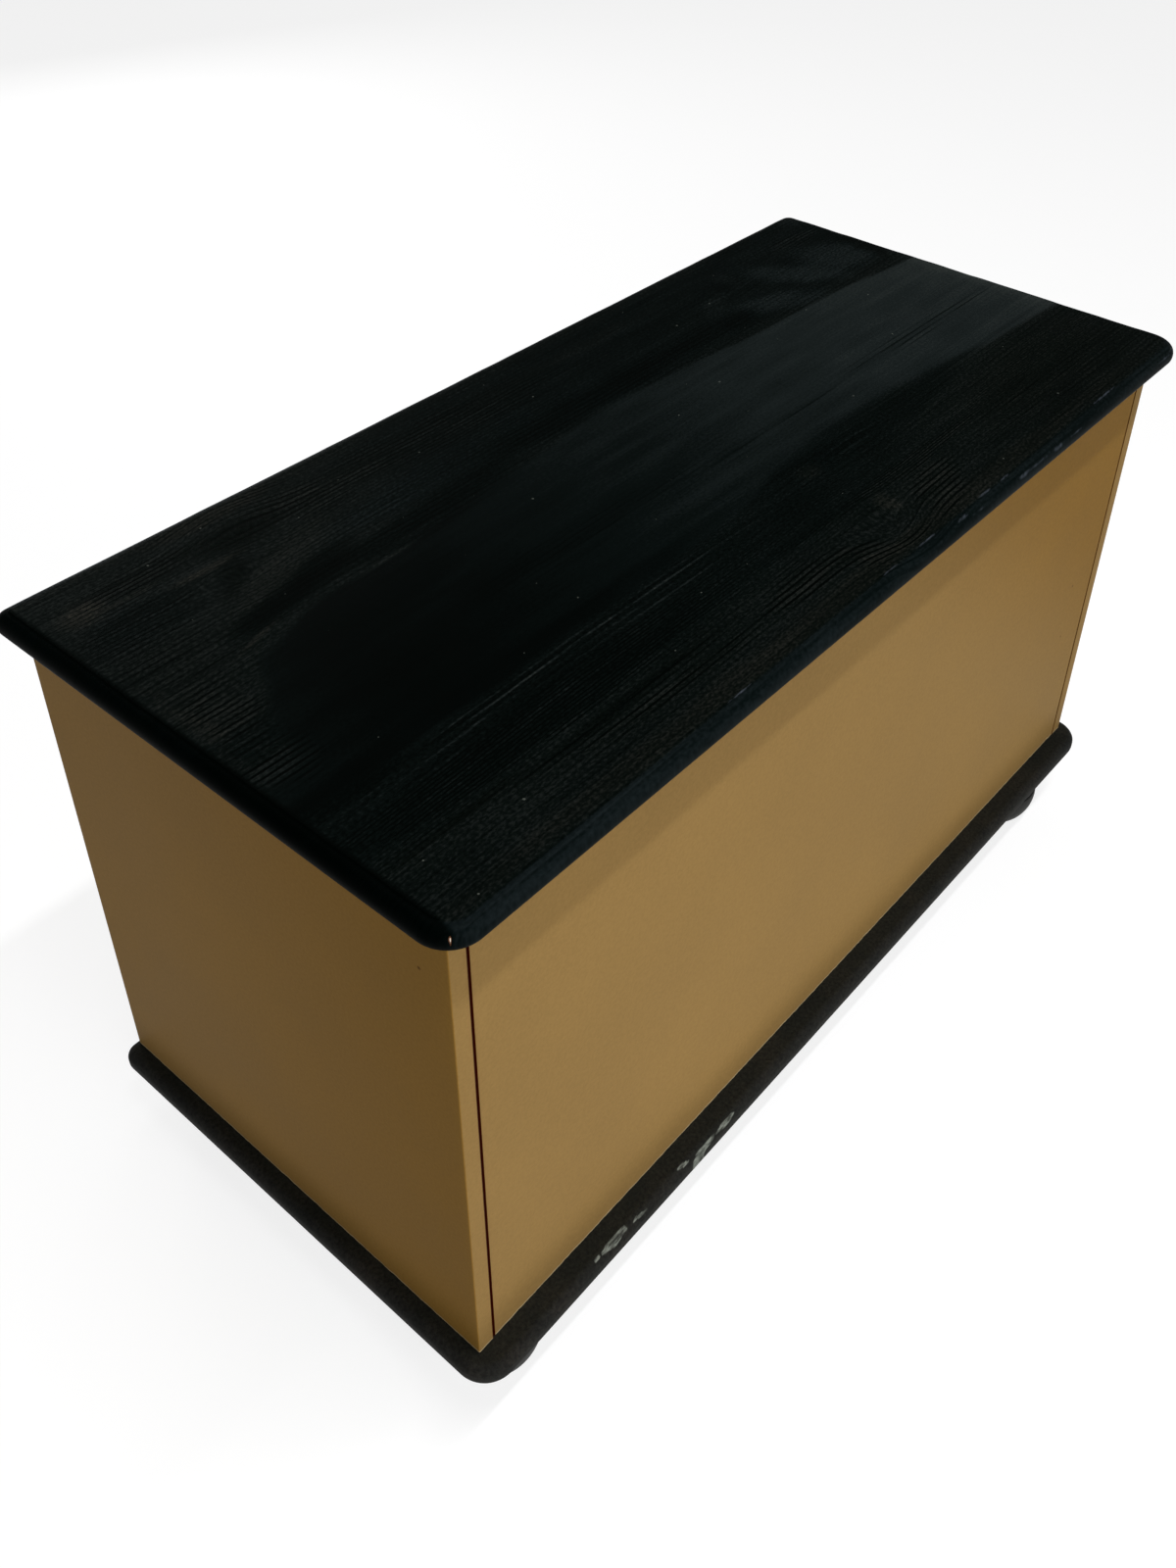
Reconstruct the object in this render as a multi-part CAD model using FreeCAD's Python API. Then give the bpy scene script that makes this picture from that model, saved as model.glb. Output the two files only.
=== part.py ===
import FreeCAD, Part
import math
import os

# Storage chest, in millimetres. The origin is on the floor, under the middle of the
# whole chest. X runs along its length, the front faces -Y, and Z is up.

# Box of four panels
body_length = 900.0
body_depth = 410.0
body_height = 452.0
panel_thickness = 15.0
panel_arris = 1.0
front_setback = 0.5
front_gap_left = 1.2
front_gap_right = 0.5
back_gap = 0.5

# Lid
lid_thickness = 19.0
lid_overhang_side = 17.5
lid_overhang_front = 21.0
lid_overhang_back = 11.0
lid_front_corner_radius = 26.5
lid_back_corner_share = 0.63
lid_edge_inset = 9.5
lid_step_share = 0.05
lid_top_round_share = 0.47
lid_bottom_round_share = 0.42
lid_seam_shares = (0.283, 0.636)

# Cross battens under the lid, with their ends this far inside the box's front and back
# faces, and their middles this far from its ends
batten_from_face = 45.0
batten_width = 45.0
batten_thickness = 18.0
batten_round = 6.0
batten_from_end = 170.0
batten_screw_count = 4

# Base board, the bottom of the box
base_thickness = 24.0
base_overhang_side = 15.0
base_overhang_front = 21.5
base_overhang_back = 6.0
base_front_corner_radius = 27.5
base_back_corner_share = 0.52
base_top_round_share = 0.34
base_bottom_round_share = 0.5
base_seam_shares = (0.334, 0.667)

# Turned feet, with the distance of their axes from the base board's edges
foot_height = 66.0
foot_radius = 43.0
foot_neck_radius = 26.0
foot_sole_radius = 25.0
foot_widest_height = 36.0
foot_neck_height = 7.4
foot_groove_radius = 1.2
foot_groove_rise = 7.0
foot_from_left = 58.0
foot_from_right = 82.0
left_foot_from_front = 57.5
right_foot_from_front = 52.5
foot_from_back = 55.0
foot_bolt_radius = 4.0
foot_bolt_bite_share = 0.8
foot_bolt_depth_share = 0.6

# Corner blocks and bottom cleats inside the box
block_side = 28.0
block_arris = 2.0
block_top_gap = 12.0
block_screw_count = 3
block_screw_stagger = 24.0
cleat_side = 20.0
cleat_arris = 1.5
cleat_end_gap = 0.5
long_cleat_screw_count = 4
short_cleat_screw_count = 2

# Wood screws
screw_shank_radius = 2.0
screw_head_radius = 4.0
screw_head_depth = 2.5
screw_bite_share = 0.62
screw_end_margin_share = 0.11
screw_hole_play = 0.1

# Butt hinges, let into the back panel's top edge and the underside of the lid, each with
# its middle this far from the box's end
hinge_length = 75.0
hinge_from_end = 160.0
hinge_leaf_width = 14.0
hinge_leaf_thickness = 1.5
hinge_leaf_play = 0.2
hinge_barrel_radius = 3.0
hinge_pin_radius = 1.25
hinge_pin_play = 0.05
hinge_pin_head_radius = 2.4
hinge_pin_head_height = 0.8
hinge_pin_behind_back = 0.8
hinge_knuckle_count = 5
hinge_knuckle_gap = 0.3
hinge_mortise_play = 0.3
hinge_screw_count = 3
hinge_screw_radius = 1.5
hinge_screw_head_radius = 2.8
hinge_screw_head_depth = 1.4
hinge_screw_length = 19.0

# Places that follow from the sizes above
front_reach = max(base_overhang_front, lid_overhang_front)
back_reach = max(base_overhang_back, lid_overhang_back)
body_left = -body_length / 2
body_right = body_length / 2
body_front = (front_reach - body_depth - back_reach) / 2
body_back = body_front + body_depth
batten_length = body_depth - 2 * batten_from_face
base_length =body_length + 2 * base_overhang_side
base_front = body_front - base_overhang_front
base_back = body_back + base_overhang_back
base_depth = base_back - base_front
base_bottom = foot_height
base_top = base_bottom + base_thickness
body_top = base_top + body_height
inner_left = body_left + panel_thickness
inner_right = body_right - panel_thickness
inner_front = body_front + front_setback + panel_thickness
inner_back = body_back - panel_thickness
lid_length = body_length + 2 * lid_overhang_side
lid_front = body_front - lid_overhang_front
lid_back = body_back + lid_overhang_back
lid_depth = lid_back - lid_front
lid_top = body_top + lid_thickness
pin_y = body_back + hinge_pin_behind_back
pin_z = body_top

# Two places closer than this are taken as one
place_tolerance = 1e-6

Vec = FreeCAD.Vector
os.makedirs("parts", exist_ok=True)


def save(node, shape):
    """Write one named piece, or group of like pieces, to its STEP file."""
    shape.exportStep("parts/" + node + ".step")


def block(x0, x1, y0, y1, z0, z1):
    """Box between two corners."""
    return Part.makeBox(x1 - x0, y1 - y0, z1 - z0, Vec(x0, y0, z0))


def rounded_plan(x0, x1, y0, y1, front_radius, back_radius, z):
    """Face of a rectangle with rounded corners at height z."""
    corners = (
        (x1, y0, -1, 1, front_radius),
        (x1, y1, -1, -1, back_radius),
        (x0, y1, 1, -1, back_radius),
        (x0, y0, 1, 1, front_radius),
    )
    edges = []
    ends = []
    for cx, cy, sx, sy, radius in corners:
        corner_cut = radius * (1 - math.sqrt(0.5))
        along_x = Vec(cx + sx * radius, cy, z)
        along_y = Vec(cx, cy + sy * radius, z)
        middle = Vec(cx + sx * corner_cut, cy + sy * corner_cut, z)
        first, last = (along_x, along_y) if sx * sy < 0 else (along_y, along_x)
        edges.append(Part.Arc(first, middle, last).toShape())
        ends.append((first, last))
    for index, (first, last) in enumerate(ends):
        following = ends[(index + 1) % len(ends)][0]
        edges.append(Part.makeLine(last, following))
    wire = Part.Wire(Part.__sortEdges__(edges))
    return Part.Face(wire)


def edges_where(shape, test):
    """Edges whose end points and middle all pass a test."""
    picked = []
    for edge in shape.Edges:
        points = [vertex.Point for vertex in edge.Vertexes]
        points.append(edge.valueAt((edge.FirstParameter + edge.LastParameter) / 2))
        if all(test(point) for point in points):
            picked.append(edge)
    return picked


def near(value, target):
    """Whether two lengths are the same."""
    return math.isclose(value, target, abs_tol=place_tolerance)


def rounded_slab(x0, x1, y0, y1, z0, z1, front_corner, back_corner, top_round, bottom_round):
    """Board with rounded corners in plan and rounded top and bottom edges."""
    plan = rounded_plan(x0, x1, y0, y1, front_corner, back_corner, z0)
    slab = plan.extrude(Vec(0, 0, z1 - z0))
    slab = slab.makeFillet(top_round, edges_where(slab, lambda p: near(p.z, z1)))
    return slab.makeFillet(bottom_round, edges_where(slab, lambda p: near(p.z, z0)))


def ease_uprights(shape, radius, places):
    """Round the vertical edges that stand at the given x and y."""
    def stands(point):
        return any(near(point.x, x) and near(point.y, y) for x, y in places)
    return shape.makeFillet(radius, edges_where(shape, stands))


def spread(first, last, count):
    """Evenly spaced values from first to last."""
    if count == 1:
        return [(first + last) / 2]
    return [first + (last - first) * index / (count - 1) for index in range(count)]


def split_depth(front, depth, shares):
    """Front and back of each board, from the seams' shares of the depth."""
    cuts = [front] + [front + depth * share for share in shares] + [front + depth]
    return list(zip(cuts[:-1], cuts[1:]))


def screw(head, into, length, shank, head_radius, head_depth, play=0.0):
    """Countersunk screw with its head flush at a point, or the hole for it.

    A profile of head cone, shank and point is turned about the screw's axis. A play
    above zero gives the hole: the same shape, larger all round.
    """
    tip = 2 * shank
    profile = [
        Vec(0, 0, 0),
        Vec(head_radius + play, 0, 0),
        Vec(shank + play, 0, -head_depth),
        Vec(shank + play, 0, tip - length),
        Vec(0, 0, -length - play),
        Vec(0, 0, 0),
    ]
    solid = Part.Face(Part.makePolygon(profile)).revolve(Vec(0, 0, 0), Vec(0, 0, 1), 360)
    turn = FreeCAD.Rotation(Vec(0, 0, -1), into)
    solid.Placement = FreeCAD.Placement(head, turn)
    return solid


def wood_screw(head, into, length, play=0.0):
    """One of the screws that join wood to wood."""
    return screw(head, into, length, screw_shank_radius, screw_head_radius,
                 screw_head_depth, play)


def hinge_screw(head, into, length, play=0.0):
    """One of the small screws that hold a hinge leaf."""
    return screw(head, into, length, hinge_screw_radius, hinge_screw_head_radius,
                 hinge_screw_head_depth, play)


def screws_and_holes(make, places):
    """The screws at a list of places, and the holes for them."""
    screws = [make(head, into, length) for head, into, length in places]
    holes = [make(head, into, length, screw_hole_play) for head, into, length in places]
    return screws, holes


def drill(shape, holes):
    """Cut those holes that reach into a shape."""
    box = shape.BoundBox
    inside = [hole for hole in holes if box.intersect(hole.BoundBox)]
    return shape.cut(inside) if inside else shape


def batten_centres():
    """Middle of each batten along the chest, by side."""
    return {"left": body_left + batten_from_end, "right": body_right - batten_from_end}


def lid_screw_places():
    """Heads of the screws that go up through the battens into the lid."""
    length = batten_thickness + lid_thickness * screw_bite_share
    margin = batten_length * screw_end_margin_share
    middle = (inner_front + inner_back) / 2
    places = []
    for x in batten_centres().values():
        ends = (middle - batten_length / 2 + margin, middle + batten_length / 2 - margin)
        for y in spread(ends[0], ends[1], batten_screw_count):
            head = Vec(x, y, body_top - batten_thickness)
            places.append((head, Vec(0, 0, 1), length))
    return places


def hinge_centres():
    """Middle of each hinge along the chest, by side."""
    return {"left": body_left + hinge_from_end, "right": body_right - hinge_from_end}


def hinge_screw_places(side):
    """Heads of the screws in the lower leaves, side -1, or the upper leaves, side 1."""
    length = hinge_screw_length if side < 0 else lid_thickness * screw_bite_share
    head_z = pin_z + side * hinge_leaf_play / 2
    row_y = body_back - panel_thickness / 2
    margin = hinge_length * screw_end_margin_share
    places = []
    for centre in hinge_centres().values():
        ends = (centre - hinge_length / 2 + margin, centre + hinge_length / 2 - margin)
        for x in spread(ends[0], ends[1], hinge_screw_count):
            places.append((Vec(x, row_y, head_z), Vec(0, 0, side), length))
    return places


def block_screw_places():
    """Heads of the screws that go through the corner blocks into the panels."""
    length = block_side + panel_thickness * screw_bite_share
    height = body_height - block_top_gap
    margin = height * screw_end_margin_share
    low = base_top + margin
    high = base_top + height - margin
    places = []
    for face_x, out_x in ((inner_left, -1), (inner_right, 1)):
        for face_y, out_y in ((inner_front, -1), (inner_back, 1)):
            mid_x = face_x - out_x * block_side / 2
            mid_y = face_y - out_y * block_side / 2
            for z in spread(low, high, block_screw_count):
                to_side = Vec(face_x - out_x * block_side, mid_y, z)
                places.append((to_side, Vec(out_x, 0, 0), length))
                to_face = Vec(mid_x, face_y - out_y * block_side, z - block_screw_stagger)
                places.append((to_face, Vec(0, out_y, 0), length))
    return places


def cleat_screw_places():
    """Heads of the screws through the cleats, sideways and down by turns."""
    sideways = cleat_side + panel_thickness * screw_bite_share
    down = cleat_side + base_thickness * screw_bite_share
    middle_z = base_top + cleat_side / 2
    top_z = base_top + cleat_side
    places = []
    x_reach = (inner_left + block_side, inner_right - block_side)
    y_reach = (inner_front + block_side, inner_back - block_side)
    for face_y, out_y in ((inner_front, -1), (inner_back, 1)):
        margin = (x_reach[1] - x_reach[0]) * screw_end_margin_share
        xs = spread(x_reach[0] + margin, x_reach[1] - margin, 2 * long_cleat_screw_count)
        for index, x in enumerate(xs):
            if index % 2:
                head = Vec(x, face_y - out_y * cleat_side / 2, top_z)
                places.append((head, Vec(0, 0, -1), down))
            else:
                head = Vec(x, face_y - out_y * cleat_side, middle_z)
                places.append((head, Vec(0, out_y, 0), sideways))
    for face_x, out_x in ((inner_left, -1), (inner_right, 1)):
        margin = (y_reach[1] - y_reach[0]) * screw_end_margin_share
        ys = spread(y_reach[0] + margin, y_reach[1] - margin, 2 * short_cleat_screw_count)
        for index, y in enumerate(ys):
            if index % 2:
                head = Vec(face_x - out_x * cleat_side / 2, y, top_z)
                places.append((head, Vec(0, 0, -1), down))
            else:
                head = Vec(face_x - out_x * cleat_side, y, middle_z)
                places.append((head, Vec(out_x, 0, 0), sideways))
    return places


def foot_centres():
    """Axis of each foot on the floor, by name."""
    left = -base_length / 2 + foot_from_left
    right = base_length / 2 - foot_from_right
    back = base_back - foot_from_back
    return {
        "front_left": Vec(left, base_front + left_foot_from_front, 0),
        "front_right": Vec(right, base_front + right_foot_from_front, 0),
        "back_left": Vec(left, back, 0),
        "back_right": Vec(right, back, 0),
    }


def foot_bolt(centre, play=0.0):
    """Bolt that joins a foot to the base board, or the hole for it."""
    below = (foot_height - foot_neck_height) * foot_bolt_depth_share + play
    above = base_thickness * foot_bolt_bite_share + play
    start = centre + Vec(0, 0, base_bottom - below)
    return Part.makeCylinder(foot_bolt_radius + play, below + above, start)


def turned_side(widest, widest_z, end, end_z):
    """Round side of a turned foot, upright where it is widest.

    It is the arc through both points whose centre is at the height of the widest one.
    """
    rise = end_z - widest_z
    centre = (end * end + rise * rise - widest * widest) / (2 * (end - widest))
    radius = widest - centre
    half_turn = math.atan2(rise, end - centre) / 2
    middle = Vec(centre + radius * math.cos(half_turn), 0,
                 widest_z + radius * math.sin(half_turn))
    return Part.Arc(Vec(widest, 0, widest_z), middle, Vec(end, 0, end_z)).toShape(), centre


def foot(centre, holes):
    """Turned bun foot with a straight neck and a groove above its widest line."""
    shoulder_z = foot_height - foot_neck_height
    upper, upper_centre = turned_side(foot_radius, foot_widest_height,
                                      foot_neck_radius, shoulder_z)
    lower, _ = turned_side(foot_radius, foot_widest_height, foot_sole_radius, 0)
    neck_foot = Vec(foot_neck_radius, 0, shoulder_z)
    neck_top = Vec(foot_neck_radius, 0, foot_height)
    edges = [
        upper,
        lower,
        Part.makeLine(neck_foot, neck_top),
        Part.makeLine(neck_top, Vec(0, 0, foot_height)),
        Part.makeLine(Vec(0, 0, foot_height), Vec(0, 0, 0)),
        Part.makeLine(Vec(0, 0, 0), Vec(foot_sole_radius, 0, 0)),
    ]
    profile = Part.Face(Part.Wire(Part.__sortEdges__(edges)))
    solid = profile.revolve(Vec(0, 0, 0), Vec(0, 0, 1), 360)
    side_radius = foot_radius - upper_centre
    groove_ring = upper_centre + math.sqrt(side_radius ** 2 - foot_groove_rise ** 2)
    groove_z = foot_widest_height + foot_groove_rise
    groove = Part.makeTorus(groove_ring, foot_groove_radius, Vec(0, 0, groove_z))
    solid = solid.cut(groove)
    solid.translate(centre)
    return drill(solid, holes)


def make_feet():
    """Four feet and the bolts that hold them."""
    bolts = []
    holes = []
    for centre in foot_centres().values():
        bolts.append(foot_bolt(centre))
        holes.append(foot_bolt(centre, screw_hole_play))
    for name, centre in foot_centres().items():
        save("foot_" + name, foot(centre, holes))
    save("foot_bolts", Part.makeCompound(bolts))
    return holes


def make_base(holes):
    """Base slab in three glued boards."""
    slab = rounded_slab(-base_length / 2, base_length / 2, base_front, base_back,
                        base_bottom, base_top, base_front_corner_radius,
                        base_thickness * base_back_corner_share,
                        base_thickness * base_top_round_share,
                        base_thickness * base_bottom_round_share)
    names = ("front", "middle", "back")
    for name, (front, back) in zip(names, split_depth(base_front, base_depth, base_seam_shares)):
        board = slab.common(block(-base_length, base_length, front, back, 0, body_top))
        save("base_board_" + name, drill(board, holes))


def mortise(centre, side):
    """Space let into the wood for one leaf and the barrel, below the lid line or above it.

    Side is -1 for the space below, in the back panel, and 1 for the space above, in the lid.
    """
    half = hinge_length / 2 + hinge_mortise_play
    half_barrel = half + hinge_pin_head_height
    leaf_depth = side * (hinge_leaf_thickness + hinge_leaf_play / 2)
    barrel_depth = side * (hinge_barrel_radius + hinge_mortise_play)
    barrel_reach = hinge_barrel_radius + hinge_mortise_play
    leaf_room = block(centre - half, centre + half,
                      pin_y - hinge_leaf_width - hinge_mortise_play, pin_y,
                      pin_z + min(leaf_depth, 0), pin_z + max(leaf_depth, 0))
    barrel_room = block(centre - half_barrel, centre + half_barrel,
                        pin_y - barrel_reach, pin_y + barrel_reach,
                        pin_z + min(barrel_depth, 0), pin_z + max(barrel_depth, 0))
    return leaf_room.fuse(barrel_room)


def make_panels(holes):
    """Side, front and back panels, with the mortises for the lower hinge leaves."""
    for name, x0, x1, outer in (("left", body_left, inner_left, body_left),
                                ("right", inner_right, body_right, body_right)):
        panel = block(x0, x1, body_front, body_back, base_top, body_top)
        panel = ease_uprights(panel, panel_arris, [(outer, body_front), (outer, body_back)])
        save("side_panel_" + name, drill(panel, holes))
    left = inner_left + front_gap_left
    right = inner_right - front_gap_right
    front = body_front + front_setback
    panel = block(left, right, front, inner_front, base_top, body_top)
    panel = ease_uprights(panel, panel_arris, [(left, front), (right, front)])
    save("front_panel", drill(panel, holes))
    left = inner_left + back_gap
    right = inner_right - back_gap
    panel = block(left, right, inner_back, body_back, base_top, body_top)
    panel = ease_uprights(panel, panel_arris, [(left, body_back), (right, body_back)])
    panel = panel.cut([mortise(centre, -1) for centre in hinge_centres().values()])
    save("back_panel", drill(panel, holes))


def make_corner_blocks(holes):
    """Upright blocks in the four inner corners."""
    top = body_top - block_top_gap
    for side, face_x, out_x in (("left", inner_left, -1), ("right", inner_right, 1)):
        for end, face_y, out_y in (("front", inner_front, -1), ("back", inner_back, 1)):
            far_x = face_x - out_x * block_side
            far_y = face_y - out_y * block_side
            post = block(min(face_x, far_x), max(face_x, far_x),
                         min(face_y, far_y), max(face_y, far_y), base_top, top)
            post = ease_uprights(post, block_arris, [(far_x, far_y)])
            save("corner_block_" + end + "_" + side, drill(post, holes))


def make_cleats(holes):
    """Square strips round the inside of the box, on the base."""
    top = base_top + cleat_side
    x0 = inner_left + block_side + cleat_end_gap
    x1 = inner_right - block_side - cleat_end_gap
    y0 = inner_front + block_side + cleat_end_gap
    y1 = inner_back - block_side - cleat_end_gap
    strips = {
        "front": (x0, x1, inner_front, inner_front + cleat_side, inner_front + cleat_side, None),
        "back": (x0, x1, inner_back - cleat_side, inner_back, inner_back - cleat_side, None),
        "left": (inner_left, inner_left + cleat_side, y0, y1, None, inner_left + cleat_side),
        "right": (inner_right - cleat_side, inner_right, y0, y1, None, inner_right - cleat_side),
    }
    for name, (left, right, front, back, edge_y, edge_x) in strips.items():
        strip = block(left, right, front, back, base_top, top)

        def on_inner_edge(point):
            if edge_y is not None:
                return near(point.z, top) and near(point.y, edge_y)
            return near(point.z, top) and near(point.x, edge_x)

        strip = strip.makeFillet(cleat_arris, edges_where(strip, on_inner_edge))
        save("bottom_cleat_" + name, drill(strip, holes))


def make_lid(holes):
    """Lid slab with a fine step round its flat top, in three glued boards."""
    half = lid_length / 2
    step = lid_thickness * lid_step_share
    back_corner = lid_thickness * lid_back_corner_share
    slab = rounded_slab(-half, half, lid_front, lid_back, body_top, lid_top - step,
                        lid_front_corner_radius, back_corner,
                        lid_thickness * lid_top_round_share,
                        lid_thickness * lid_bottom_round_share)
    inset = lid_edge_inset
    field = rounded_plan(-half + inset, half - inset, lid_front + inset, lid_back - inset,
                         lid_front_corner_radius - inset, back_corner - inset,
                         lid_top - 2 * step)
    slab = slab.fuse(field.extrude(Vec(0, 0, 2 * step))).removeSplitter()
    slab = slab.cut([mortise(centre, 1) for centre in hinge_centres().values()])
    names = ("front", "middle", "back")
    for name, (front, back) in zip(names, split_depth(lid_front, lid_depth, lid_seam_shares)):
        board = slab.common(block(-lid_length, lid_length, front, back, 0, 2 * lid_top))
        save("lid_board_" + name, drill(board, holes))


def make_battens(holes):
    """Cross battens under the lid, with their lower ends rounded off."""
    middle = (inner_front + inner_back) / 2
    ends = (middle - batten_length / 2, middle + batten_length / 2)
    low = body_top - batten_thickness
    for name, x in batten_centres().items():
        strip = block(x - batten_width / 2, x + batten_width / 2, ends[0], ends[1],
                      low, body_top)

        def on_lower_end(point):
            return near(point.z, low) and (near(point.y, ends[0]) or near(point.y, ends[1]))

        strip = strip.makeFillet(batten_round, edges_where(strip, on_lower_end))
        save("lid_batten_" + name, drill(strip, holes))


def hinge_leaf(centre, side, holes):
    """Leaf with its knuckles: the lower one, side -1, has the odd knuckles out."""
    start = centre - hinge_length / 2
    inner = side * hinge_leaf_play / 2
    outer = side * (hinge_leaf_play / 2 + hinge_leaf_thickness)
    low = pin_z + min(inner, outer)
    high = pin_z + max(inner, outer)
    clear = pin_y - hinge_barrel_radius - hinge_mortise_play
    leaf = block(start, start + hinge_length, pin_y - hinge_leaf_width, clear, low, high)
    pitch = hinge_length / hinge_knuckle_count
    for index in range(hinge_knuckle_count):
        if (index % 2 == 0) != (side < 0):
            continue
        x0 = start + index * pitch + hinge_knuckle_gap / 2
        x1 = start + (index + 1) * pitch - hinge_knuckle_gap / 2
        tongue = block(x0, x1, clear, pin_y, low, high)
        knuckle = Part.makeCylinder(hinge_barrel_radius, x1 - x0, Vec(x0, pin_y, pin_z),
                                    Vec(1, 0, 0))
        leaf = leaf.fuse([tongue, knuckle])
    bore = Part.makeCylinder(hinge_pin_radius + hinge_pin_play, hinge_length,
                             Vec(start, pin_y, pin_z), Vec(1, 0, 0))
    leaf = leaf.removeSplitter().cut(bore)
    return drill(leaf, holes)


def hinge_pin(centre):
    """Hinge pin with a thin head at each end."""
    start = centre - hinge_length / 2
    pin = Part.makeCylinder(hinge_pin_radius, hinge_length, Vec(start, pin_y, pin_z),
                            Vec(1, 0, 0))
    heads = []
    for x in (start - hinge_pin_head_height, start + hinge_length):
        heads.append(Part.makeCylinder(hinge_pin_head_radius, hinge_pin_head_height,
                                       Vec(x, pin_y, pin_z), Vec(1, 0, 0)))
    return pin.fuse(heads).removeSplitter()


def make_hinges(lower_holes, upper_holes):
    """Leaves and pins of both hinges."""
    for name, centre in hinge_centres().items():
        save("hinge_body_leaf_" + name, hinge_leaf(centre, -1, lower_holes))
        save("hinge_lid_leaf_" + name, hinge_leaf(centre, 1, upper_holes))
        save("hinge_pin_" + name, hinge_pin(centre))


def main():
    """Build every piece, with its screws in holes of their own."""
    lid_screws, lid_holes = screws_and_holes(wood_screw, lid_screw_places())
    block_screws, block_holes = screws_and_holes(wood_screw, block_screw_places())
    cleat_screws, cleat_holes = screws_and_holes(wood_screw, cleat_screw_places())
    lower_screws, lower_holes = screws_and_holes(hinge_screw, hinge_screw_places(-1))
    upper_screws, upper_holes = screws_and_holes(hinge_screw, hinge_screw_places(1))
    bolt_holes = make_feet()
    make_base(cleat_holes + bolt_holes)
    make_panels(block_holes + cleat_holes + lower_holes)
    make_corner_blocks(block_holes)
    make_cleats(cleat_holes)
    make_lid(lid_holes + upper_holes)
    make_battens(lid_holes)
    make_hinges(lower_holes, upper_holes)
    save("lid_batten_screws", Part.makeCompound(lid_screws))
    save("corner_block_screws", Part.makeCompound(block_screws))
    save("bottom_cleat_screws", Part.makeCompound(cleat_screws))
    save("hinge_body_screws", Part.makeCompound(lower_screws))
    save("hinge_lid_screws", Part.makeCompound(upper_screws))


main()
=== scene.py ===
import math

import bpy
import numpy as np
from bpy.props import FloatProperty, FloatVectorProperty, PointerProperty
from mathutils import Euler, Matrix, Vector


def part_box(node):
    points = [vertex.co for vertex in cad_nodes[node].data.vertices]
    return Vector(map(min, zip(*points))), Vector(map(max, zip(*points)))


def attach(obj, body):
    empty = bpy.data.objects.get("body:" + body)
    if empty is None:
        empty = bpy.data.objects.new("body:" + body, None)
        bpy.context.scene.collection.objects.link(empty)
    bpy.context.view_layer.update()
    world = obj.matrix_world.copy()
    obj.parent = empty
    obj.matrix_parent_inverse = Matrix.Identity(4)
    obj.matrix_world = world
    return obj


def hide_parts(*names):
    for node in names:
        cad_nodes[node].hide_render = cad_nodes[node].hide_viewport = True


bl_info = {
    "name": "Storage chest",
    "version": (1, 0, 0),
    "blender": (4, 5, 0),
    "location": "View3D > Sidebar > Chest",
    "description": "Dresses a painted storage chest around its frame",
    "category": "Object",
}

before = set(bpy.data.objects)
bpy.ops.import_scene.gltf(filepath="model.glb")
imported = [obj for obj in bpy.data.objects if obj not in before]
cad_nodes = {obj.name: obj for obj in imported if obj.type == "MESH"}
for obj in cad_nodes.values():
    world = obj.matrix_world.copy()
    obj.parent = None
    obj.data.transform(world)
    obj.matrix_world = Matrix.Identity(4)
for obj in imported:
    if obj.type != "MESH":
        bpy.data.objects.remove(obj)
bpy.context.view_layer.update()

MM = 0.001
TURN = 2 * math.pi


def linear(code):
    """Linear RGB of an sRGB hex colour.

    Each channel c becomes ((c + 0.055) / 1.055) ** 2.4, or c / 12.92 up to 0.04045.
    """
    channels = [int(code[i:i + 2], 16) / 255 for i in (1, 3, 5)]
    return tuple(c / 12.92 if c <= 0.04045 else ((c + 0.055) / 1.055) ** 2.4
                 for c in channels)


def colour(name, description, code):
    """A colour property with an sRGB hex default."""
    return FloatVectorProperty(name=name, description=description, subtype="COLOR",
                               size=3, min=0, max=1, default=linear(code))


def length(name, description, millimetres):
    """A length property with its default in millimetres."""
    return FloatProperty(name=name, description=description, unit="LENGTH", min=0,
                         precision=5, default=millimetres * MM)


class ChestSizes(bpy.types.PropertyGroup):
    lid_front_corner: length("Lid front corner", "Radius of the front corners", 26.5)
    lid_back_corner: length("Lid back corner", "Radius of the back corners", 11.97)
    lid_top_round: length("Lid top round", "Radius of the lid's upper edge", 8.93)
    lid_bottom_round: length("Lid bottom round", "Radius of the lid's lower edge", 7.98)
    lid_step: length("Lid step", "Height of the fine step round the lid's flat", 0.95)
    lid_step_inset: length("Lid step inset", "Distance of that step from the edge", 9.5)
    lid_front_seam: length("Lid front seam", "Depth of the lid's front board", 125.086)
    lid_back_seam: length("Lid back seam", "Depth of the front and middle boards", 281.112)
    base_front_corner: length("Base front corner", "Radius of the front corners in plan", 27.5)
    base_back_corner: length("Base back corner", "Radius of the back corners in plan", 12.48)
    base_top_round: length("Base top round", "Radius of the base's upper edge", 8.16)
    base_bottom_round: length("Base bottom round", "Radius of the base's lower edge", 12)
    grain_depth: length("Grain depth", "Depth of the open grain in the stained lid", 0.16)
    brush_depth: length("Brush depth", "Unevenness of the paint on the base", 0.22)
    panel_wave: length("Panel wave", "Waviness of the painted panels", 0.25)
    panel_arris: length("Panel arris", "Radius of the panels' upright edges", 1)
    inner_arris: length("Inner arris", "Radius of the side panels' edges beside the front", 1)


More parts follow.
